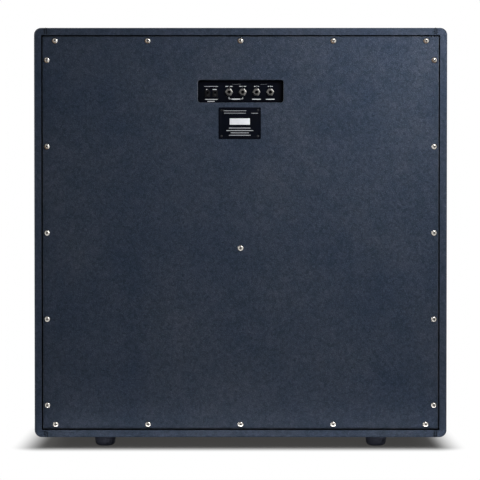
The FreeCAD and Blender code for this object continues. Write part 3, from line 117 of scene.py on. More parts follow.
def bridge(shape, low, high):
    """The faces between two rings of corners, either of which may be a single point."""
    made = []
    count = max(len(low), len(high))
    for i in range(count):
        j = (i + 1) % count
        corners = [low[i % len(low)], low[j % len(low)], high[j % len(high)], high[i % len(high)]]
        face = list(dict.fromkeys(corners))
        if len(face) > 2:
            made.append(shape.faces.new(face))
    return made


def lathe(name, profile, segments, closed=False):
    """A mesh turned about Y from points of radius and height in millimetres."""
    shape = bmesh.new()
    rings = []
    for radius, height in profile:
        if radius == 0:
            rings.append([shape.verts.new((0, height * MM, 0))])
            continue
        ring = []
        for i in range(segments):
            turn = 2 * math.pi * i / segments
            place = (radius * MM * math.cos(turn), height * MM, radius * MM * math.sin(turn))
            ring.append(shape.verts.new(place))
        rings.append(ring)
    for low, high in zip(rings, rings[1:]):
        bridge(shape, low, high)
    if closed:
        bridge(shape, rings[-1], rings[0])
    return mesh_of(shape, name)


def hull(name, points):
    """The convex solid around points in millimetres."""
    shape = bmesh.new()
    for point in points:
        shape.verts.new(Vector(point) * MM)
    bmesh.ops.convex_hull(shape, input=shape.verts)
    return mesh_of(shape, name)


def carved(name, mesh, steps):
    """The mesh after boolean steps with other meshes, which are used up."""
    base = linked(name, mesh)
    tools = []
    for operation, other in steps:
        tool = linked(f"{name}_tool", other)
        step = base.modifiers.new("step", "BOOLEAN")
        step.operation = operation
        step.solver = "EXACT"
        step.object = tool
        tools.append(tool)
    made = evaluated(base)
    made.materials.clear()
    for spent in [*tools, base]:
        old = spent.data
        bpy.data.objects.remove(spent)
        bpy.data.meshes.remove(old)
    return made


def repeated(name, mesh, matrices):
    """One mesh with a copy of another at each matrix."""
    shape = bmesh.new()
    for matrix in matrices:
        first = len(shape.verts)
        shape.from_mesh(mesh)
        shape.verts.ensure_lookup_table()
        bmesh.ops.transform(shape, matrix=matrix, verts=shape.verts[first:])
    made = bpy.data.meshes.new(name)
    shape.to_mesh(made)
    shape.free()
    bpy.data.meshes.remove(mesh)
    return made


def welded(node):
    """A bmesh copy of a CAD node, with its coincident corners joined."""
    shape = bmesh.new()
    shape.from_mesh(NODES[node].data)
    bmesh.ops.remove_doubles(shape, verts=shape.verts, dist=WELD_GAP * MM)
    return shape


def islands(node):
    """The lowest and highest corner of each separate solid of a CAD node."""
    shape = welded(node)
    found, seen = [], set()
    for start in shape.verts:
        if start in seen:
            continue
        seen.add(start)
        group, waiting = [], [start]
        while waiting:
            vertex = waiting.pop()
            group.append(vertex.co.copy())
            for edge in vertex.link_edges:
                other = edge.other_vert(vertex)
                if other not in seen:
                    seen.add(other)
                    waiting.append(other)
        low = Vector([min(point[axis] for point in group) for axis in range(3)])
        high = Vector([max(point[axis] for point in group) for axis in range(3)])
        found.append((low, high))
    shape.free()
    return sorted(found, key=lambda box: tuple(round(number, 5) for number in (*box[0], *box[1])))


def softened(node, width, segments, chosen=None):
    """A mesh like a CAD node's with its sharp edges, or the chosen ones, rounded."""
    shape = welded(node)
    for face in shape.faces:
        face.material_index = 0
    bmesh.ops.dissolve_limit(shape, angle_limit=FLAT_ANGLE, verts=shape.verts, edges=shape.edges)
    sharp = [edge for edge in shape.edges if edge.is_manifold and edge.calc_face_angle(0) > CREASE_ANGLE]
    if chosen:
        sharp = [edge for edge in sharp if all(chosen(vertex.co / MM) for vertex in edge.verts)]
    ways = {"profile": 0.5, "affect": "EDGES", "clamp_overlap": not chosen}
    bmesh.ops.bevel(shape, geom=sharp, offset=width * MM, segments=segments, **ways)
    return mesh_of(shape, f"{node}_softened")


def rounded(name, node, width, segments, material, slot, body=CABINET):
    """A piece like a CAD node with its sharp edges rounded, which stands for it."""
    finished(name, softened(node, width, segments), material, body=body, slot=slot, replaces=[node])


def leaning(face, degrees):
    """From 1 to -1, how a face leans to an angle counted from the right, seen from behind."""
    return math.cos(math.atan2(face.normal.z, -face.normal.x) - math.radians(degrees))


# Material helpers, and the places of a mix node's colour sockets
MIX_SHARE, MIX_FIRST, MIX_SECOND, MIX_COLOUR = 0, 6, 7, 2


class Graph:
    """The nodes of one shader tree."""

    def __init__(self, tree):
        self.tree = tree

    def add(self, kind, numbers=None, **settings):
        """A new node with its settings and the values of its sockets."""
        made = self.tree.nodes.new(kind)
        for key, setting in settings.items():
            setattr(made, key, setting)
        for socket, number in (numbers or {}).items():
            made.inputs[socket].default_value = number
        return made

    def link(self, source, target):
        """Feeds a socket from another one or with a number."""
        if isinstance(source, (int, float)):
            target.default_value = source
        else:
            self.tree.links.new(source, target)

    def math(self, operation, first, second=0):
        """A calculation with one or two values."""
        made = self.add("ShaderNodeMath", operation=operation)
        self.link(first, made.inputs[0])
        self.link(second, made.inputs[1])
        return made.outputs["Value"]

    def ranged(self, source, low, high, start, end, **settings):
        """A value carried over from one range to another."""
        limits = {"From Min": start, "From Max": end, "To Min": low, "To Max": high}
        made = self.add("ShaderNodeMapRange", limits, **settings)
        self.link(source, made.inputs["Value"])
        return made.outputs["Result"]

    def between(self, share, first, second):
        """A value between two others."""
        made = self.add("ShaderNodeMix")
        for socket, term in (("Factor", share), ("A", first), ("B", second)):
            self.link(term, made.inputs[socket])
        return made.outputs["Result"]

    def axes(self, source):
        """The three parts of a vector."""
        made = self.add("ShaderNodeSeparateXYZ")
        self.link(source, made.inputs["Vector"])
        return made.outputs


class Look(Graph):
    """A material with a principled shader, built up from procedural nodes."""

    def __init__(self, name, **settings):
        self.material = bpy.data.materials.new(name)
        self.material.use_nodes = True
        super().__init__(self.material.node_tree)
        self.shader = self.tree.nodes["Principled BSDF"]
        for socket, number in settings.items():
            self.shader.inputs[socket.replace("_", " ")].default_value = number
        self.coordinates = self.add("ShaderNodeTexCoord").outputs["Object"]
        self.relief = None

    def stretch(self, scale):
        """The object's coordinates scaled by three numbers."""
        made = self.add("ShaderNodeMapping", {"Scale": scale})
        self.link(self.coordinates, made.inputs["Vector"])
        return made.outputs["Vector"]

    def texture(self, kind, numbers, source, output, **settings):
        """A texture at the object's own coordinates or at other ones."""
        made = self.add(kind, numbers, **settings)
        self.link(source or self.coordinates, made.inputs["Vector"])
        return made.outputs[output]

    def noise(self, scale, detail, roughness=0.55, source=None, output="Fac"):
        """A cloudy pattern."""
        numbers = {"Scale": scale, "Detail": detail, "Roughness": roughness}
        return self.texture("ShaderNodeTexNoise", numbers, source, output)

    def cells(self, scale, source, feature="DISTANCE_TO_EDGE", output="Distance"):
        """A pattern of pebbles."""
        return self.texture("ShaderNodeTexVoronoi", {"Scale": scale}, source, output, feature=feature)

    def waves(self, scale, distortion=0, source=None, **settings):
        """A pattern of even bands or rings."""
        numbers = {"Scale": scale, "Distortion": distortion, "Detail Scale": 1.5}
        return self.texture("ShaderNodeTexWave", numbers, source, "Fac", **settings)

    def ramp(self, source, *stops):
        """A colour between two, each at a position of a value."""
        made = self.add("ShaderNodeValToRGB")
        for element, (position, colour) in zip(made.color_ramp.elements, stops):
            element.position = position
            element.color = (*colour, 1)
        self.link(source, made.inputs["Fac"])
        return made.outputs["Color"]

    def tinted(self, tone, layer):
        """One colour times another."""
        made = self.add("ShaderNodeMix", {MIX_SHARE: 1.0}, data_type="RGBA", blend_type="MULTIPLY")
        self.link(tone, made.inputs[MIX_FIRST])
        self.link(layer, made.inputs[MIX_SECOND])
        return made.outputs[MIX_COLOUR]

    def colour(self, source):
        """Sets the colour of the surface."""
        self.link(source, self.shader.inputs["Base Color"])

    def rough(self, source, low, high, start=0.3, end=0.7):
        """Lets the roughness follow a value."""
        self.link(self.ranged(source, low, high, start, end), self.shader.inputs["Roughness"])

    def bump(self, height, distance, strength):
        """Adds a relief, its depth in millimetres, on top of the earlier ones."""
        made = self.add("ShaderNodeBump", {"Strength": strength, "Distance": distance * MM})
        self.link(height, made.inputs["Height"])
        if self.relief:
            self.link(self.relief, made.inputs["Normal"])
        self.relief = made.outputs["Normal"]
        self.link(self.relief, self.shader.inputs["Normal"])


def vinyl_look(name, dark, light):
    """Dark blue-grey vinyl with a pebbled grain, its creases and its pebbles in two tones."""
    look = Look(name, Specular_IOR_Level=0.13)
    wander = look.add("ShaderNodeVectorMath", {1: (0.0022, 0.0022, 0.0022)}, operation="MULTIPLY_ADD")
    look.link(look.noise(260, 2, 0.5, output="Color"), wander.inputs[0])
    look.link(look.coordinates, wander.inputs[2])
    spots = wander.outputs[0]
    pebbles = look.ranged(look.cells(330, spots), 0, 1, 0, 0.30)
    creases = look.ranged(look.cells(900, spots), 0, 1, 0, 0.30)
    grain = look.math("ADD", look.math("MULTIPLY", pebbles, 0.65), look.math("MULTIPLY", creases, 0.35))
    pores = look.noise(2600, 2)
    broad = look.noise(7, 5, 0.6)
    blotches = look.noise(60, 4, 0.65)
    dabs = look.cells(210, spots, "F1", "Color")
    tone = look.ramp(grain, (0, dark), (1, light))
    for layer in (
        look.ramp(broad, (0.3, (0.76, 0.84, 0.92)), (0.7, (1.22, 1.14, 1.07))),
        look.ramp(blotches, (0.28, (0.78, 0.86, 0.88)), (0.72, (1.22, 1.14, 1.12))),
        look.ramp(dabs, (0, (0.70, 0.76, 0.76)), (1, (1.30, 1.24, 1.24))),
    ):
        tone = look.tinted(tone, layer)
    look.colour(tone)
    look.rough(look.math("ADD", grain, look.math("MULTIPLY", broad, 0.6)), 0.74, 0.52, 0.2, 1.3)
    look.bump(pebbles, 0.32, 0.8)
    look.bump(creases, 0.10, 0.6)
    look.bump(pores, 0.05, 0.5)
    return look.material


def plain_look(name, dark, light, scale, rough, relief, fine=900, **settings):
    """A surface that drifts between two tones, with a fine relief."""
    look = Look(name, **settings)
    broad = look.noise(scale, 4)
    look.colour(look.ramp(broad, (0.32, dark), (0.68, light)))
    tooth = look.noise(fine, 2)
    look.rough(tooth, *rough)
    look.bump(tooth, relief, 0.7)
    return look.material


def metal_look(name, dark, light, rough, relief, brushed=(1, 1, 1), metal=1):
    """Plated metal with faint brushing and spots of duller plate."""
    look = Look(name, Metallic=metal)
    lines = look.noise(500, 3, source=look.stretch(brushed))
    spots = look.noise(90, 4)
    look.colour(look.ramp(spots, (0.35, dark), (0.65, light)))
    look.rough(lines, *rough)
    look.bump(lines, relief, 0.5)
    return look.material


def dull_nickel(name, dark, light):
    """Nickel plate that has lost its shine."""
    return metal_look(name, dark, light, (0.3, 0.45), 0.01, metal=0.4)


def wood_look(name, dark, light, stretch, layers=None):
    """Timber grain along one axis or, with layers, plywood that shows its plies along an axis."""
    look = Look(name)
    grain = look.noise(60, 6, 0.6, look.stretch(stretch))
    fibre = look.noise(420, 3, 0.6, look.stretch(stretch))
    tone = look.ramp(grain, (0.3, dark), (0.7, light))
    if layers:
        plies = look.waves(95, 0.4, bands_direction=layers)
        shade = look.ramp(plies, (0.35, (0.62, 0.52, 0.42)), (0.6, (1, 1, 1)))
        tone = look.tinted(tone, shade)
    look.colour(tone)
    look.rough(fibre, 0.5, 0.75)
    look.bump(fibre, 0.12, 0.6)
    return look.material


def cloth_look():
    """Black speaker cloth: a plain weave of round, uneven threads with paler fibres."""
    look = Look("grille_weave", Specular_IOR_Level=0.35, Sheen_Weight=0.15, Sheen_Roughness=0.5)
    warp, weft = (look.waves(260, 0.15, bands_direction=axis) for axis in "XZ")
    turns = (look.math("SUBTRACT", look.waves(130, bands_direction=axis), 0.5) for axis in "XZ")
    over = look.math("GREATER_THAN", look.math("MULTIPLY", *turns), 0)
    first = look.math("MULTIPLY", warp, over)
    second = look.math("MULTIPLY", weft, look.math("SUBTRACT", 1, over))
    thread = look.math("ADD", first, second)
    flecks = look.noise(700, 2, 0.5, look.stretch((1, 1, 0.25)))
    tone = look.ramp(thread, (0, (0.004, 0.004, 0.005)), (1, (0.034, 0.034, 0.036)))
    pale = look.ramp(flecks, (0.55, (1, 1, 1)), (0.75, (2.2, 2.2, 2.3)))
    runs = [look.stretch(run) for run in ((1, 1, 0.04), (0.04, 1, 1))]
    uneven = look.math("ADD", *(look.noise(150, 3, 0.65, run) for run in runs))
    uneven = look.math("MULTIPLY", uneven, 0.5)
    slubs = look.ramp(uneven, (0.38, (0.55, 0.55, 0.56)), (0.62, (1.5, 1.5, 1.48)))
    look.colour(look.tinted(look.tinted(tone, pale), slubs))
    look.rough(flecks, 0.7, 0.9)
    look.bump(thread, 0.45, 0.9)
    return look.material


def ringed_look(name, dark, light, pitch, relief, rough):
    """Pressed paper or cloth with rings about the Y axis through the middle of its box."""
    look = Look(name)
    centred = look.add("ShaderNodeMapping", {"Location": (-0.5, 0, -0.5)})
    look.link(look.add("ShaderNodeTexCoord").outputs["Generated"], centred.inputs["Vector"])
    middle = centred.outputs["Vector"]
    rings = look.waves(pitch, source=middle, wave_type="RINGS", rings_direction="Y")
    fibres = look.noise(380, 5, 0.65)
    look.colour(look.ramp(fibres, (0.3, dark), (0.7, light)))
    look.rough(fibres, *rough)
    look.bump(rings, relief, 0.6)
    look.bump(fibres, 0.15, 0.5)
    return look.material


def print_look(name, dark, light):
    """Screen-printed ink, a little uneven."""
    look = Look(name)
    patches = look.noise(1500, 3)
    look.colour(look.ramp(patches, (0.3, dark), (0.6, light)))
    look.rough(patches, 0.5, 0.7)
    look.bump(patches, 0.01, 0.4)
    return look.material


# Materials, most of them from two tones, limits of roughness and a depth of relief
MATT = {"Specular_IOR_Level": 0.025}
SATIN = {"Specular_IOR_Level": 0.2}
BIRCH = ((0.46, 0.33, 0.19), (0.62, 0.47, 0.3))
VINYL = vinyl_look("vinyl_grain", (0.0118, 0.018, 0.031), (0.0285, 0.0385, 0.059))
# Painted highlight: lighter vinyl for the back panel's rounded rear edges.
EDGE_HIGHLIGHT_VINYL = vinyl_look("edge_highlight_vinyl", (0.03, 0.038, 0.052), (0.064, 0.074, 0.092))
# Near-black vinyl: painted shade in the gap round the back panel and beside the seams, and the seams'
# darker cut edge.
SHADE_AND_CUT_EDGE_VINYL = plain_look(
    "shade_and_cut_edge_vinyl", (0.0015, 0.0017, 0.002), (0.0035, 0.0038, 0.0045), 90, (0.6, 0.8), 0.03, **MATT
)
PIPING = plain_look("piping_vinyl", (0.016, 0.017, 0.019), (0.03, 0.031, 0.034), 50, (0.3, 0.45), 0.04)
NICKEL = metal_look("nickel_plate", (0.46, 0.44, 0.41), (0.62, 0.6, 0.57), (0.12, 0.28), 0.01)
# Painted shade: a darker, warm nickel for the lower left flanks of the upper back screws.
PAINTED_SHADE_NICKEL = metal_look("painted_shade_nickel", (0.12, 0.088, 0.068), (0.22, 0.17, 0.135), (0.2, 0.35), 0.01)
# Darker nickel: dirt, and painted shade in the back screws' cross recesses.
GRIME_AND_SHADE_NICKEL = metal_look("grimy_and_shaded_nickel", (0.05, 0.042, 0.036), (0.12, 0.1, 0.085), (0.45, 0.7), 0.03)
# Nut and bush tones painted with light and shade: shaded flats, a half-lit tone for the bush and most
# chamfers, and a painted highlight for chamfers facing up and right.
NUT_NICKEL = dull_nickel("shaded_nickel", (0.05, 0.049, 0.047), (0.09, 0.088, 0.085))
HALF_LIT_NICKEL = dull_nickel("half_lit_nickel", (0.1, 0.097, 0.093), (0.155, 0.15, 0.146))
PAINTED_HIGHLIGHT_NICKEL = dull_nickel("painted_highlight_nickel", (0.44, 0.43, 0.42), (0.56, 0.55, 0.54))
# Dark zinc: the rivets' own colour, and painted shade on the nuts' chamfers facing down and left.
DARK_ZINC_AND_SHADE = metal_look("blackened_zinc_and_shade", (0.014, 0.0145, 0.016), (0.032, 0.033, 0.036), (0.3, 0.45), 0.01)
ZINC = metal_look("zinc_plate", (0.45, 0.46, 0.48), (0.62, 0.63, 0.64), (0.28, 0.5), 0.02)
BRASS = metal_look("spring_brass", (0.55, 0.4, 0.18), (0.72, 0.55, 0.28), (0.25, 0.4), 0.01, (1, 6, 1))
COPPER = metal_look(
    "enamelled_copper", (0.45, 0.17, 0.07), (0.66, 0.3, 0.14), (0.25, 0.4), 0.02, (1, 40, 1)
)
BLACK_STEEL = plain_look(
    "satin_black_steel", (0.0007, 0.0011, 0.0026), (0.0015, 0.0021, 0.0048), 30, (0.4, 0.55), 0.012, **MATT
)
BASKET = plain_look(
    "basket_enamel", (0.016, 0.017, 0.018), (0.028, 0.029, 0.03), 35, (0.3, 0.45), 0.03, **SATIN
)
PLASTIC = plain_look(
    "moulded_plastic", (0.011, 0.011, 0.012), (0.018, 0.018, 0.019), 25, (0.42, 0.6), 0.05, **SATIN
)
HOUSING = plain_look(
    "switch_plastic", (0.005, 0.005, 0.006), (0.009, 0.009, 0.01), 90, (0.45, 0.6), 0.02, **MATT
)
LEVER = plain_look(
    "lever_plastic", (0.014, 0.014, 0.016), (0.024, 0.024, 0.026), 120, (0.35, 0.5), 0.02, **MATT
)
RUBBER = plain_look(
    "foot_rubber", (0.0085, 0.0098, 0.0165), (0.0145, 0.0165, 0.0265), 40, (0.6, 0.85), 0.08, 1400, **SATIN
)
SHEATH = plain_look(
    "cable_sheath", (0.01, 0.01, 0.011), (0.02, 0.02, 0.021), 70, (0.4, 0.55), 0.02, **SATIN
)
PAPER = plain_look(
    "label_sheet", (0.515, 0.53, 0.56), (0.575, 0.585, 0.61), 60, (0.5, 0.65), 0.01, **SATIN
)
GASKET = plain_look("gasket_card", (0.09, 0.075, 0.055), (0.15, 0.125, 0.09), 45, (0.7, 0.9), 0.08)
FERRITE = plain_look("ferrite", (0.03, 0.03, 0.031), (0.055, 0.054, 0.053), 60, (0.55, 0.8), 0.06)
PLATE_INK = print_look("plate_ink", (0.34, 0.35, 0.365), (0.55, 0.56, 0.585))
RATING_INK = print_look("rating_ink", (0.16, 0.17, 0.19), (0.3, 0.31, 0.33))
PAINTED = wood_look("painted_ply", (0.01, 0.01, 0.01), (0.022, 0.021, 0.02), (1, 1, 0.12))
BATTEN = wood_look("sawn_batten", (0.42, 0.28, 0.14), (0.62, 0.45, 0.26), (1, 1, 0.12))
PLY_X = wood_look("birch_ply_x", *BIRCH, (1, 0.1, 1), "X")
PLY_Y = wood_look("birch_ply_y", *BIRCH, (0.1, 1, 1), "Y")
PLY_Z = wood_look("birch_ply_z", *BIRCH, (1, 0.1, 1), "Z")
WEAVE = cloth_look()
CONE = ringed_look("cone_paper", (0.03, 0.029, 0.027), (0.06, 0.057, 0.052), 26, 0.3, (0.7, 0.9))
SUSPENSION = ringed_look(
    "treated_cloth", (0.05, 0.042, 0.03), (0.095, 0.08, 0.058), 60, 0.15, (0.6, 0.85)
)


# Carried-over CAD nodes
def dress(material, *names):
    """Gives a material to CAD nodes that are shown as they are."""
    for name in names:
        slots = NODES[name].data.materials
        slots.clear()
        slots.append(material)


dress(BLACK_STEEL, "jack_plate")
dress(PLY_X, "left_side_panel", "right_side_panel")
dress(PLY_Y, "back_panel")
dress(PLY_Z, "top_panel", "bottom_panel")
# The rear cleats take the black paint so that the gap round the back panel stays dark: painted shade.
dress(PAINTED, "baffle_board", "grille_frame", "rear_cleats")
dress(BATTEN, "front_cleats", "centre_post")
dress(ZINC, "foot_screws", "jack_plate_screws", "baffle_screws", "speaker_bolts", "tee_nuts")
dress(ZINC, "speaker_front_plates", "speaker_pole_plates")
dress(FERRITE, "speaker_magnets")
dress(GASKET, "speaker_gaskets")
dress(PLASTIC, "speaker_terminals")
dress(SHEATH, "speaker_cables")
for number in range(1, 5):
    dress(BRASS, f"jack_contact_{number}")
    dress(BASKET, f"speaker_{number}_basket")
    dress(SUSPENSION, f"speaker_{number}_suspension")
    dress(CONE, f"speaker_{number}_cone")
    dress(COPPER, f"speaker_{number}_voice_coil")


# Vinyl skins, with the edges rolled as the material turns over them
WRAP_ROLL = 0.8
ROLL_STEPS = 4
FACING = 0.9
FLAT_WEIGHT = 80
PANEL_EDGE = 0.5
PANEL_RIM = 2
EDGE_HIGHLIGHT_SLOPE = (0.15, 0.97)
OPENING_HALF = 81
OPENING_LEVEL = 658
OPENING_RISE = 22
OPENING_CORNER = 5
LIP_REACH = 2.4
LIP_ROUND = 1.7
SLACK = 0.1


def gap_shaded_wrap():
    """The box's skin, its faces that look into the gap round the back panel in near-black vinyl as painted
    shade.
    """
    mesh = softened("vinyl_wrap", WRAP_ROLL, ROLL_STEPS)
    low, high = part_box("vinyl_wrap")
    middle = (low + high) / 2
    for face in mesh.polygons:
        out = face.center - middle
        inward = face.normal.x * out.x if abs(face.normal.x) > FACING else 0
        inward += face.normal.z * out.z if abs(face.normal.z) > FACING else 0
        if inward < 0 and face.center.y > 0:
            face.material_index = SECOND
    return mesh


def highlighted_panel():
    """The back panel's skin, its rounded rear edges in a lighter vinyl as a painted highlight, and rolled
    over beside the jacks.
    """
    low, high = (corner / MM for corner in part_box("back_panel_vinyl"))

    def on_rim(place):
        """Whether a place lies on the rear edge of the skin, outside or round the jack opening."""
        outer = min(place.x - low.x, high.x - place.x, place.z - low.z, high.z - place.z) < PANEL_RIM
        beside = abs(place.x) < OPENING_HALF + SLACK
        opening = beside and abs(place.z - OPENING_LEVEL) < OPENING_RISE + SLACK
        return place.y > high.y - SLACK and (outer or opening)

    mesh = softened("back_panel_vinyl", PANEL_EDGE, ROLL_STEPS, on_rim)
    for face in mesh.polygons:
        if EDGE_HIGHLIGHT_SLOPE[0] < face.normal.y < EDGE_HIGHLIGHT_SLOPE[1]:
            face.material_index = SECOND
    for vertex in mesh.vertices:
        x, y, z = vertex.co / MM
        beyond = abs(x) - (OPENING_HALF - OPENING_CORNER)
        above = abs(z - OPENING_LEVEL) - (OPENING_RISE - OPENING_CORNER)
        away = math.hypot(max(beyond, 0), max(above, 0))
        sunk = y < high.y - PANEL_EDGE - SLACK
        if sunk or beyond < -SLACK or away > OPENING_CORNER + PANEL_EDGE + SLACK:
            continue
        share = min(max(beyond / OPENING_CORNER, 0), 1)
        spread = (LIP_ROUND / PANEL_EDGE - 1) * share
        x -= math.copysign(LIP_REACH + (OPENING_CORNER - away) * spread, x)
        y -= (high.y - y) * spread
        vertex.co = Vector((x, y, z)) * MM
    return mesh


for name, mesh, marked, node in (
    # The wrap's near-black second vinyl in the gap round the back panel is painted shade.
    ("rolled_vinyl_wrap", gap_shaded_wrap(), SHADE_AND_CUT_EDGE_VINYL, "vinyl_wrap"),
    # The panel's lighter second vinyl on its rounded rear edges is a painted highlight.
    ("rolled_panel_vinyl", highlighted_panel(), EDGE_HIGHLIGHT_VINYL, "back_panel_vinyl"),
):
    skin = finished(name, mesh, VINYL, marked, slot="vinyl", replaces=[node])
    shading = skin.modifiers.new("even_shading", "WEIGHTED_NORMAL")
    shading.keep_sharp = True
    shading.weight = FLAT_WEIGHT


# Screws with domed heads, a cross recess and a ringed shank, and domed rivets
EDGE_SHARE, ROOT_SHARE, PITCH_SHARE = 0.18, 0.78, 0.8
RECESS_TOP, RECESS_FOOT, RECESS_LEVEL = 0.58, 0.2, 0.08
# Painted shade on the back screws' lower left flanks: its direction, spread and slope, and the region of
# screws that take it.
PAINTED_SHADE_WAY, PAINTED_SHADE_SPREAD, PAINTED_SHADE_SLOPE = 225, 0.2, 0.25
PAINTED_SHADE_TOP, PAINTED_SHADE_LEFT, PAINTED_SHADE_LOW = 620, 300, 400
HANDLE_SCREW_RISE = 2.2
RIVET_HEAD, RIVET_EDGE, RIVET_RISE, RIVET_LENGTH = 2.2, 0.15, 1, 7.5


def dome(radius, edge, rise, steps):
    """A profile from above the edge of a dome to its top."""
    return [(radius * c, edge + (rise - edge) * s) for c, s in quarter(steps)[1:-1]] + [(0, rise)]


def domed_screw(name, head, rise, shank, length, blade):
    """A screw along Y with its seat at zero, from two radii, two lengths and the width of its recess."""
    edge = rise * EDGE_SHARE
    profile = [(0, -length), (shank * 0.35, -length + shank)]
    pitch = shank * PITCH_SHARE
    for turn in range(int((length - 2 * shank) / pitch)):
        start = -length + 1.5 * shank + turn * pitch
        profile += [(shank * ROOT_SHARE, start), (shank, start + pitch / 2)]
    profile += [(shank * 0.8, -0.1), (head * 0.96, 0), (head, edge * 0.4), (head, edge)]
    solid = lathe(name, profile + dome(head, edge, rise, 9), 40)
    top, foot = rise + 0.5, rise * RECESS_LEVEL
    blades = ((top, head * RECESS_TOP, blade / 2), (foot, head * RECESS_FOOT, blade * 0.36))
    cuts = []
    for across in (False, True):
        points = []
        for level, half, thick in blades:
            for a in (-half, half):
                for b in (-thick, thick):
                    points.append((b, level, a) if across else (a, level, b))
        cuts.append(("DIFFERENCE", hull(f"{name}_blade", points)))
    cone = [(0, foot - blade * 0.3), (blade * 0.95, top), (0, top)]
    cuts.append(("DIFFERENCE", lathe(f"{name}_cone", cone, 16)))
    made = carved(name, solid, cuts)
    # The faces inside the cross recess take the second material: on the back screws a darker nickel, dirt
    # and painted shade in the recess; on the handle screws, dirt.
    for face in made.polygons:
        x, y, z = face.center / MM
        reach = math.hypot(x, z) / head
        if reach < 0.5 and 0 < y < edge + (rise - edge) * math.sqrt(1 - reach * reach) - 0.05:
            face.material_index = SECOND
    return made


def placed(box, seat):
    """The middle of a solid in X and Z at a height along Y."""
    low, high = box
    return Vector(((low.x + high.x) / 2, seat, (low.z + high.z) / 2))


def turned(box, seat, most):
    """The place of a solid's seat, with a random turn about Y."""
    return Matrix.Translation(placed(box, seat)) @ Matrix.Rotation(chance.uniform(0, most), 4, "Y")


def sideways(box):
    """Turns a screw from Y to the side that its solid lies on, with its seat in the handle."""
    low, high = box
    side = 1 if low.x > 0 else -1
    middle = Vector((0, (low.y + high.y) / 2, (low.z + high.z) / 2))
    middle.x = (high.x if side > 0 else low.x) - side * HANDLE_SCREW_RISE * MM
    spin = Matrix.Rotation(chance.uniform(0, math.pi / 2), 4, "Y")
    return Matrix.Translation(middle) @ Matrix.Rotation(-side * math.pi / 2, 4, "Z") @ spin


def with_painted_shade(mesh):
    """Marks the lower left flank, seen from behind, of screws near the top and at the upper left, for a
    darker warm nickel that is painted shade.
    """
    for face in mesh.polygons:
        spot = face.center / MM
        slope = math.hypot(face.normal.x, face.normal.z)
        flank = slope > PAINTED_SHADE_SLOPE and leaning(face, PAINTED_SHADE_WAY) > PAINTED_SHADE_SPREAD
        shaded_place = spot.z > PAINTED_SHADE_TOP or (spot.x > PAINTED_SHADE_LEFT and spot.z > PAINTED_SHADE_LOW)
        if flank and shaded_place and face.material_index == 0:
            face.material_index = THIRD
    return mesh


panel_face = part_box("back_panel_vinyl")[1].y
seats = [turned(box, panel_face, math.pi / 2) for box in islands("back_panel_screws")]
screw = domed_screw("back_screw", 5.5, 2.9, 2.3, 24, 1.8)
mesh = with_painted_shade(repeated("back_screw_set", screw, seats))
finished("back_screw_set", mesh, NICKEL, GRIME_AND_SHADE_NICKEL, PAINTED_SHADE_NICKEL, slot="nickel", replaces=["back_panel_screws"])

rating_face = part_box("rating_plate")[1].y
seats = [turned(box, rating_face, math.pi) for box in islands("rating_plate_rivets")]
shank = [(0, -RIVET_LENGTH), (1.1, -RIVET_LENGTH), (1.2, 0)]
shank += [(RIVET_HEAD - 0.1, 0), (RIVET_HEAD, RIVET_EDGE)]
rivet = lathe("rivet", shank + dome(RIVET_HEAD, RIVET_EDGE, RIVET_RISE, 6), 28)
mesh = repeated("rivet_set", rivet, seats)
finished("rivet_set", mesh, DARK_ZINC_AND_SHADE, slot="black_steel", replaces=["rating_plate_rivets"])

screw = domed_screw("handle_screw", 4, HANDLE_SCREW_RISE, 2, 11, 1.2)
mesh = repeated("handle_screw_set", screw, [sideways(box) for box in islands("handle_screws")])
finished("handle_screw_set", mesh, BLACK_STEEL, GRIME_AND_SHADE_NICKEL, slot="black_steel", replaces=["handle_screws"])


# Jacks: hexagon nuts, washers, threaded bushes and moulded bodies
NUT_SHARE = 0.89
NUT_RING = 5.3
NUT_BORE, NUT_MOUTH = 4.75, 5.2
CHAMFER_SLOPE = (0.3, 0.97)
NUT_HIGHLIGHT_WAY, NUT_HIGHLIGHT_SPREAD = 35, 0.85
NUT_SHADE_WAY, NUT_SHADE_SPREAD = 237, 0.6
WASHER = ((4.8, 0), (7.6, 0), (7.8, 0.15), (7.8, 0.65), (7.6, 0.8), (5, 0.8), (4.8, 0.65))
BUSH_BORE, BUSH_START = 3.25, -0.9
THREAD_ROOT, THREAD_CREST, THREAD_PITCH, THREAD_START = 4.45, 4.7, 0.75, -0.6
plate_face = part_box("jack_plate")[1].y
nut_boxes = islands("jack_nuts")
jack_seats = [placed(box, plate_face) for box in nut_boxes]


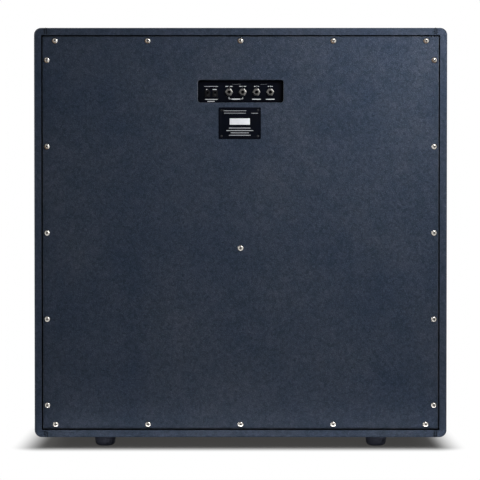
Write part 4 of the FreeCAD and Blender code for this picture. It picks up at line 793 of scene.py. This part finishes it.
def hexagon_nut():
    """A nut with its flats above and below, a round bore, and chamfers in painted light: a painted
    highlight on those facing up and right, painted shade on those facing down and left, and a half-lit
    tone on the rest.
    """
    nut_low, nut_high = nut_boxes[0]
    low = (nut_low.y - plate_face) / MM
    high = low + (nut_high.y - nut_low.y) / MM
    reach = NUT_SHARE * (nut_high.z - nut_low.z) / MM / 2 / math.cos(math.pi / 6)
    points = []
    for i in range(6):
        turn = math.pi / 3 * i
        for level in (low, high):
            points.append((reach * math.cos(turn), level, reach * math.sin(turn)))
    wide, over = reach + 2, high + 0.15
    cap = [(0, low - 1), (wide, low - 1), (wide, high - 0.5 * (wide - NUT_RING))]
    cap += [(NUT_RING - 0.3, over), (0, over)]
    bore = [(0, low - 2), (NUT_BORE, low - 2), (NUT_BORE, high - 0.3)]
    bore += [(NUT_MOUTH, high + 0.2), (NUT_MOUTH, high + 2), (0, high + 2)]
    steps = [("INTERSECT", lathe("nut_cap", cap, 64)), ("DIFFERENCE", lathe("nut_bore", bore, 40))]
    made = carved("hexagon_nut", hull("nut_blank", points), steps)
    for face in made.polygons:
        if CHAMFER_SLOPE[0] < face.normal.y < CHAMFER_SLOPE[1]:
            highlighted = leaning(face, NUT_HIGHLIGHT_WAY) > NUT_HIGHLIGHT_SPREAD
            shaded_side = leaning(face, NUT_SHADE_WAY) > NUT_SHADE_SPREAD
            face.material_index = THIRD if highlighted else FOURTH if shaded_side else SECOND
    return made


def threaded_bush():
    """The threaded tube of a jack, from inside the plate to its chamfered end."""
    end = (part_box("jack_sockets")[1].y - plate_face) / MM
    profile = [(BUSH_BORE, BUSH_START), (THREAD_ROOT, BUSH_START)]
    level = THREAD_START
    while level + THREAD_PITCH < end - 0.5:
        profile += [(THREAD_ROOT, level), (THREAD_CREST, level + THREAD_PITCH / 2)]
        level += THREAD_PITCH
    profile += [(THREAD_ROOT, end - 0.5), (4.1, end), (3.6, end), (BUSH_BORE, end - 0.35)]
    return lathe("bush", profile, 40, closed=True)


def jack_bodies():
    """The sockets' bodies without their bushes, closed again where these start."""
    shape = welded("jack_sockets")
    whole = [*shape.verts, *shape.edges, *shape.faces]
    split = (0, plate_face + BUSH_START * MM, 0)
    bmesh.ops.bisect_plane(shape, geom=whole, plane_co=split, plane_no=(0, 1, 0), clear_outer=True)
    rim = [edge for edge in shape.edges if edge.is_boundary]
    bmesh.ops.holes_fill(shape, edges=rim, sides=0)
    return mesh_of(shape, "jack_body_set")


def at_jacks(name, mesh, *materials, **settings):
    """A piece with a copy of a mesh at each jack."""
    copies = repeated(name, mesh, [Matrix.Translation(seat) for seat in jack_seats])
    finished(name, copies, *materials, **settings)


# The nut's tones: shaded flats, half-lit chamfers, a painted highlight and painted shade.
nut_light_and_shade = (NUT_NICKEL, HALF_LIT_NICKEL, PAINTED_HIGHLIGHT_NICKEL, DARK_ZINC_AND_SHADE)
at_jacks("hexagon_nut_set", hexagon_nut(), *nut_light_and_shade, slot="nickel", replaces=["jack_nuts"])
washer = lathe("washer", WASHER, 48, closed=True)
at_jacks("washer_set", washer, BLACK_STEEL, slot="black_steel", replaces=["jack_washers"])
at_jacks("jack_bush_set", threaded_bush(), HALF_LIT_NICKEL, slot="nickel")
finished("jack_body_set", jack_bodies(), PLASTIC, slot="black_plastic", replaces=["jack_sockets"])


# Slide switches, with three grip ridges on each lever
RIDGE_HALF, RIDGE_RISE, RIDGE_SINK, RIDGE_NIP = 1.35, 0.22, 0.3, 0.12
RIDGE_THICK, RIDGE_PITCH = 0.4, 0.9
rounded("switch_housing_set", "slide_switch_housings", 0.2, 2, HOUSING, "black_plastic")
for number in (1, 2):
    name = f"slide_switch_lever_{number}"
    rounded(f"switch_lever_{number}", name, 0.2, 2, LEVER, "switch_lever", name)
    low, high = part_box(name)
    middle = placed((low, high), high.y)
    outline = [(RIDGE_HALF, -RIDGE_SINK), (RIDGE_HALF, RIDGE_NIP), (RIDGE_HALF - RIDGE_NIP, RIDGE_RISE)]
    outline += [(-x, y) for x, y in reversed(outline)]
    ridge = hull("ridge", [(x, y, z * RIDGE_THICK) for x, y in outline for z in (-0.5, 0.5)])
    places = [middle + Vector((0, -0.05, step * RIDGE_PITCH)) * MM for step in (-1, 0, 1)]
    mesh = repeated(f"switch_grip_{number}", ridge, [Matrix.Translation(place) for place in places])
    finished(f"switch_grip_{number}", mesh, LEVER, body=name)


# Rating plate and blank label
rounded("rating_sheet", "rating_plate", 0.22, 2, BLACK_STEEL, "black_steel")
rounded("label_sheet", "blank_label", 0.05, 2, PAPER, "label_paper")


# Feet: turned rubber with a deep rounding at the sole and a hole for the screw
FOOT_BORE, FOOT_DEPTH = 6.5, 9
FOOT_TAPER, FOOT_ROUND, FOOT_STEPS = 1.5, 8, 12


def foot_mesh(low, high):
    """A foot about Y with its sole at zero, as wide and as high as a box."""
    radius = (high.x - low.x) / MM / 2
    rise = (high.z - low.z) / MM
    flat = radius - FOOT_TAPER - FOOT_ROUND
    profile = [(0, FOOT_DEPTH), (FOOT_BORE - 0.2, FOOT_DEPTH), (FOOT_BORE, FOOT_DEPTH - 0.3)]
    profile += [(FOOT_BORE, 0.6), (FOOT_BORE + 0.6, 0), (flat, 0)]
    profile += [(flat + FOOT_ROUND * s, FOOT_ROUND - FOOT_ROUND * c) for c, s in quarter(FOOT_STEPS)[1:]]
    profile += [(radius - 0.25, rise - 3), (radius, rise - 0.8), (radius - 0.6, rise), (0, rise)]
    return lathe("foot", profile, 72)


foot_boxes = islands("feet")
upright = Matrix.Rotation(math.pi / 2, 4, "X")
stands = []
for low, high in foot_boxes:
    middle = Vector(((low.x + high.x) / 2, (low.y + high.y) / 2, low.z))
    stands.append(Matrix.Translation(middle) @ upright)
feet = repeated("rubber_feet", foot_mesh(*foot_boxes[0]), stands)
finished("rubber_feet", feet, RUBBER, slot="foot_rubber", replaces=["feet"])


# Side handles
for side in ("left", "right"):
    rounded(f"{side}_recessed_handle", f"{side}_handle", 1.1, 3, PLASTIC, "black_plastic")


# Grille cloth, stretched over its frame and turned round the four sides
CLOTH_BEND, CLOTH_THICK = 3, 0.5
CLOTH_STEPS, FOLD_STEPS = 36, 8
low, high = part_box("grille_cloth")
half_x, half_z = (high.x - low.x) / 2, (high.z - low.z) / 2
depth = high.y - low.y


def cloth_mesh(middle, front):
    """The face of the cloth and its four turned sides, with the corners cut out."""
    bend = CLOTH_BEND * MM
    shape = bmesh.new()

    def run(half):
        """The length of the sheet from its middle to its turned edge."""
        return half - bend + bend * math.pi / 2 + depth - bend

    def fold(share, half):
        """A place across the sheet and its depth behind the face, for a share from -1 to 1."""
        along = abs(share) * run(half)
        sign = 1 if share > 0 else -1
        if along <= half - bend:
            return sign * along, 0
        turn = (along - (half - bend)) / bend
        if turn <= math.pi / 2:
            return sign * (half - bend + bend * math.sin(turn)), bend - bend * math.cos(turn)
        return sign * half, bend + (turn - math.pi / 2) * bend

    def spots(half):
        """Shares that are close together at the turned edges."""
        flat = (half - bend) / run(half)
        shares = [flat * i / CLOTH_STEPS for i in range(CLOTH_STEPS)]
        shares += [flat + (1 - flat) * i / FOLD_STEPS for i in range(FOLD_STEPS + 1)]
        return [-share for share in reversed(shares[1:])] + shares

    rows = []
    for up in spots(half_z):
        z, sink_z = fold(up, half_z)
        row = []
        for across in spots(half_x):
            x, sink_x = fold(across, half_x)
            if sink_x > 0 and sink_z > 0:
                row.append(None)
                continue
            y = front + max(sink_x, sink_z)
            row.append(shape.verts.new((middle.x + x, y, middle.z + z)))
        rows.append(row)
    for lower, upper in zip(rows, rows[1:]):
        for i in range(len(lower) - 1):
            corners = [lower[i], lower[i + 1], upper[i + 1], upper[i]]
            if None not in corners:
                shape.faces.new(corners)
    return mesh_of(shape, "cloth")


mesh = cloth_mesh((low + high) / 2, low.y)
cloth = finished("stretched_grille_cloth", mesh, WEAVE, slot="grille_cloth", replaces=["grille_cloth"])
thick = cloth.modifiers.new("thickness", "SOLIDIFY")
thick.thickness = CLOTH_THICK * MM
thick.offset = -1


# Piping round the grille
PIPING_BEND, PIPING_STEPS, PIPING_SIDES = 4, 6, 14


def piping_mesh():
    """A round bead along a rectangle with rounded corners."""
    low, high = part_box("grille_piping")
    radius = (high.y - low.y) / 2
    half_x, half_z = (high.x - low.x) / 2 - radius, (high.z - low.z) / 2 - radius
    centre = (low + high) / 2
    bend = PIPING_BEND * MM
    shape = bmesh.new()
    rings = []
    for sx, sz, start in ((1, 1, 0), (-1, 1, 90), (-1, -1, 180), (1, -1, 270)):
        corner = centre + Vector((sx * (half_x - bend), 0, sz * (half_z - bend)))
        for i in range(PIPING_STEPS + 1):
            turn = math.radians(start + 90 * i / PIPING_STEPS)
            out = Vector((math.cos(turn), 0, math.sin(turn)))
            ring = []
            for j in range(PIPING_SIDES):
                turn = 2 * math.pi * j / PIPING_SIDES
                place = corner + out * (bend + radius * math.cos(turn))
                ring.append(shape.verts.new(place + Vector((0, radius * math.sin(turn), 0))))
            rings.append(ring)
    for first, second in zip(rings, rings[1:] + rings[:1]):
        bridge(shape, first, second)
    return mesh_of(shape, "piping")


finished("grille_bead", piping_mesh(), PIPING, slot="piping", replaces=["grille_piping"])


# Lapped seams of the vinyl, where the side pieces are turned over the top and the bottom:
# places across a seam with their heights over the vinyl, and the faces in near-black vinyl: the cut edges,
# a darker cut edge, and the flat strips beside them, painted shade
SEAM_X = 358.6
SEAM_EDGE, SEAM_STEPS = 5, 6
RIM_WIDTH = 12.9
LAP = ((-2.7, -0.2), (-2.7, 0.06), (-1.1, 0.06), (-1, 0.34), (-0.6, 0.4))
LAP += ((0.6, 0.4), (1, 0.34), (1.1, 0.06), (2.7, 0.06), (2.7, -0.2))
SEAM_CUT_AND_SHADE = (1, 2, 6, 7)


def seam_mesh(side, up):
    """The overlap of two pieces of vinyl round the section of the box, from lining to lining."""
    low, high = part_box("vinyl_wrap")
    z_face = (high.z if up else low.z) / MM
    sign = 1 if up else -1
    inner = RIM_WIDTH - WRAP_ROLL
    front, rear = low.y / MM, high.y / MM
    edge = SEAM_EDGE
    line = [(front, inner, -1, 0)]
    line += [(front + edge - edge * c, edge - edge * s, -c, s) for c, s in quarter(SEAM_STEPS)]
    line += [(rear - edge + edge * s, edge - edge * c, s, c) for c, s in quarter(SEAM_STEPS)]
    line.append((rear, inner, 1, 0))
    shape = bmesh.new()
    rings = []
    for y, drop, out_y, out_z in line:
        ring = []
        for across, rise in LAP:
            z = z_face - sign * drop + sign * out_z * rise
            ring.append(shape.verts.new(Vector((side * (SEAM_X + across), y + out_y * rise, z)) * MM))
        rings.append(ring)
    for first, second in zip(rings, rings[1:]):
        for i, face in enumerate(bridge(shape, first, second)):
            # The cut edges and the flat strips beside them are near black: a darker cut edge, and painted
            # shade in the strips.
            face.material_index = SECOND if i in SEAM_CUT_AND_SHADE else 0
    shape.faces.new(rings[0])
    shape.faces.new(list(reversed(rings[-1])))
    return mesh_of(shape, "seam")


for side, word in ((-1, "left"), (1, "right")):
    for up, level in ((True, "top"), (False, "bottom")):
        finished(f"vinyl_seam_{level}_{word}", seam_mesh(side, up), VINYL, SHADE_AND_CUT_EDGE_VINYL, slot="vinyl")


# Printed marks: bars, a bracket and numerals on the jack plate, and plain rules on the rating plate.
# Each row of bars holds a place across and a height, both from an anchor, a width and a thickness.
INK_GAP, INK_RISE = 0.004, 0.03
NUMERAL_LEVEL, NUMERAL_SIZE = 10.8, 3.64
PAIRED_JACK = ((-4.3, 10.8, 4.6, 1.3), (4.3, 10.8, 4.6, 1.3), (0, -10.5, 0.9, 3.6))
SINGLE_JACK = ((-3.3, 10.8, 2.6, 1.3), (3.3, 10.8, 2.6, 1.3), (0, -13, 16.5, 1.6))
BRACKET = ((-11.1, -12.4, 4, 0.9), (11.1, -12.4, 4, 0.9), (0, -12.7, 16.5, 2))
FIRST_SWITCH = ((1.5, 7.8, 2.4, 2),)
SECOND_SWITCH = ((1, 7.8, 7.6, 1.5),)
BOTH_SWITCHES = ((0.4, 13.6, 26, 0.7), (0, -10.4, 23.5, 1.35), (0.6, -14, 13.5, 1.2))
FAINT_MARKS = ((7.6, 14.8, 15.5, 0.3), (-43, 14.8, 12, 0.3))
RATING_RULES = ((9, -6.2, 42, 0.95), (9, -10.6, 40, 0.95), (-27.5, -10.8, 13, 0.95))
RATING_RULES += ((0, -38, 40, 1.3), (0, -42.6, 50, 1.4))
RATING_RULES += ((0, -46.8, 34, 1.3), (0, -51.2, 40, 1.4))


def bars(x, z, rows):
    """The corners of flat bars with cut ends, placed from an anchor."""
    rings = []
    for across, rise, width, height in rows:
        nip = min(width, height) * 0.3
        a, b = width / 2, height / 2
        ring = [(-a, -b + nip), (-a + nip, -b), (a - nip, -b), (a, -b + nip)]
        ring += [(-p, -q) for p, q in ring]
        rings.append([(x + across + p, z + rise + q) for p, q in ring])
    return rings


def printed(name, rings, face, material):
    """Thin ink shapes lying on a face."""
    shape = bmesh.new()
    for ring in rings:
        under, over = (
            [shape.verts.new((x * MM, face + rise * MM, z * MM)) for x, z in ring]
            for rise in (INK_GAP, INK_RISE)
        )
        shape.faces.new(over)
        shape.faces.new(list(reversed(under)))
        bridge(shape, under, over)
    finished(name, mesh_of(shape, name), material, smooth=False)


def numeral(text, x, z):
    """A numeral of flat ink on the jack plate, read from behind the cabinet."""
    name = f"jack_numeral_{text}"
    curve = bpy.data.curves.new(name, "FONT")
    curve.body = text
    curve.size = NUMERAL_SIZE * MM
    curve.align_x = curve.align_y = "CENTER"
    curve.extrude = INK_RISE / 2 * MM
    curve.resolution_u = 3
    made = linked(name, curve)
    made.matrix_world = (
        Matrix.Translation((x * MM, plate_face + INK_RISE / 2 * MM, z * MM))
        @ Matrix.Rotation(math.pi, 4, "Z")
        @ Matrix.Rotation(math.pi / 2, 4, "X")
    )
    mesh = evaluated(made)
    mesh.transform(made.matrix_world)
    bpy.data.objects.remove(made)
    bpy.data.curves.remove(curve)
    finished(name, mesh, PLATE_INK, smooth=False)


jack_x = sorted((seat.x / MM for seat in jack_seats), reverse=True)
jack_z = jack_seats[0].z / MM
rings = []
for index, x in enumerate(jack_x):
    numeral(str(index + 1), x, jack_z + NUMERAL_LEVEL)
    rings += bars(x, jack_z, PAIRED_JACK if index < 2 else SINGLE_JACK)
rings += bars((jack_x[0] + jack_x[1]) / 2, jack_z, BRACKET)
switches = [placed(box, 0) / MM for box in islands("slide_switch_housings")]
left_switch, right_switch = sorted(switches, key=lambda spot: -spot.x)
rings += bars(left_switch.x, left_switch.z, FIRST_SWITCH)
rings += bars(right_switch.x, right_switch.z, SECOND_SWITCH)
rings += bars((left_switch.x + right_switch.x) / 2, left_switch.z, BOTH_SWITCHES)
printed("jack_plate_marks", rings, plate_face, PLATE_INK)
# The faint marks near the top of the plate are printed in the darker ink as painted shade, where the top
# of the opening shades the plate.
printed("jack_plate_faint_marks", bars(0, jack_z, FAINT_MARKS), plate_face, RATING_INK)
low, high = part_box("rating_plate")
rules = bars((low.x + high.x) / 2 / MM, high.z / MM, RATING_RULES)
printed("rating_rules", rules, rating_face, RATING_INK)


# Floor, light and camera
FLOOR_SIZE = 60
WORLD_LEVEL = 0.09
SHADOW_LEVEL = 0.05
SHADOW_X, SHADOW_Y = (0.004, 0.358), (0, 0.165)
SHADOW_FADE = 0.066
CAMERA_PLACE = (0, 3.18, 0.4306)
CAMERA_AIM = (0.0011, 0.18, 0.384)


def floor():
    """A wide pale floor that turns plain white away from the cabinet; near it, to camera and mirror rays,
    a painted shadow, near black with a faint glow.
    """
    bpy.ops.mesh.primitive_plane_add(size=FLOOR_SIZE)
    made = bpy.context.object
    made.name = "studio_floor"
    material = bpy.data.materials.new("studio_floor")
    material.use_nodes = True
    graph = Graph(material.node_tree)
    graph.tree.nodes.clear()
    pale = graph.add("ShaderNodeBsdfDiffuse", {"Color": (0.9, 0.9, 0.9, 1)})
    shaded = graph.add("ShaderNodeBsdfDiffuse", {"Color": (0.1, 0.1, 0.1, 1)})
    glow = graph.add("ShaderNodeEmission", {"Color": (1, 0.985, 0.96, 1), "Strength": SHADOW_LEVEL})
    white = graph.add("ShaderNodeEmission", {"Color": (1, 1, 1, 1), "Strength": 1.0})
    place = graph.axes(graph.add("ShaderNodeNewGeometry").outputs["Position"])

    def beyond(axis, middle, half):
        """The square of the distance outside the shaded strip along an axis."""
        offset = graph.math("ABSOLUTE", graph.math("SUBTRACT", place[axis], middle))
        outside = graph.math("MAXIMUM", graph.math("SUBTRACT", offset, half), 0)
        return graph.math("POWER", outside, 2)

    def joined(kind, first, second, share=None):
        """Two shaders added, or mixed by a share."""
        both = graph.add(kind)
        if share:
            graph.link(share, both.inputs["Fac"])
        for socket, source in zip(list(both.inputs)[-2:], (first, second)):
            graph.link(source.outputs[0], socket)
        return both

    away = graph.math("SQRT", graph.math("ADD", beyond("X", *SHADOW_X), beyond("Y", *SHADOW_Y)))
    fade = graph.ranged(away, 0, 1, 0, SHADOW_FADE, interpolation_type="SMOOTHSTEP")
    rays = graph.add("ShaderNodeLightPath").outputs
    seen = graph.math("MAXIMUM", rays["Is Camera Ray"], rays["Is Glossy Ray"])
    seen = graph.math("MAXIMUM", seen, rays["Is Transmission Ray"])
    # Painted shadow: near the cabinet, camera and mirror rays see a dark floor with a faint glow.
    near = joined("ShaderNodeAddShader", shaded, glow)
    looked_at = joined("ShaderNodeMixShader", near, white, fade)
    whole = joined("ShaderNodeMixShader", pale, looked_at, seen)
    output = graph.add("ShaderNodeOutputMaterial")
    graph.link(whole.outputs["Shader"], output.inputs["Surface"])
    made.data.materials.append(material)


def world():
    """Soft white surroundings, seen as plain white and mirrored darker overhead."""
    made = bpy.data.worlds.new("studio")
    bpy.context.scene.world = made
    made.use_nodes = True
    graph = Graph(made.node_tree)
    sky = graph.tree.nodes["Background"]
    sky.inputs["Color"].default_value = (1, 1, 1, 1)
    rays = graph.add("ShaderNodeLightPath").outputs
    up = graph.axes(graph.add("ShaderNodeTexCoord").outputs["Generated"])["Z"]
    overhead = graph.ranged(up, 1, 0.3, 0.2, 0.8)
    mirrored = graph.math("MAXIMUM", rays["Is Glossy Ray"], rays["Is Transmission Ray"])
    level = graph.between(mirrored, WORLD_LEVEL, overhead)
    strength = graph.between(rays["Is Camera Ray"], level, 1)
    graph.link(strength, sky.inputs["Strength"])


def aimed(name, data, place, aim):
    """A lamp or a camera at a place, looking at another."""
    made = linked(name, data)
    made.location = place
    made.rotation_mode = "QUATERNION"
    made.rotation_quaternion = (Vector(aim) - Vector(place)).to_track_quat("-Z", "Y")
    return made


def lamp(name, place, aim, size, power, height=None):
    """A round area lamp or, with a height, a rectangular one."""
    light = bpy.data.lights.new(name, "AREA")
    light.shape = "RECTANGLE" if height else "DISK"
    light.size = size
    light.size_y = height or size
    light.energy = power
    made = aimed(name, light, place, aim)
    made.visible_camera = False
    return made


floor()
world()
lamp("key", (-0.46, 0.62, 0.92), (-0.26, 0.17, 0.62), 0.3, 4.7).visible_glossy = False
lamp("side", (-0.55, 1.38, 1.2), (-0.25, 0.17, 0.5), 0.4, 11.2)
lamp("low", (-0.06, 0.222, 0.007), (-0.06, 0.178, 0.024), 0.86, 0.235, 0.008)
lamp("fill_front", (1.2, -2.4, 1.9), (0, -0.18, 0.4), 1.4, 60)
lamp("fill_side", (2.4, 0.1, 1.4), (0.38, 0, 0.4), 1.2, 26)
lamp("fill_other_side", (-2.4, -0.1, 1.4), (-0.38, 0, 0.4), 1.2, 14)

camera = bpy.data.cameras.new("camera")
camera.lens = 122.32
camera.sensor_width = 36
camera.clip_end = FLOOR_SIZE
bpy.context.scene.camera = aimed("camera", camera, CAMERA_PLACE, CAMERA_AIM)
bpy.context.scene.view_settings.view_transform = "Standard"
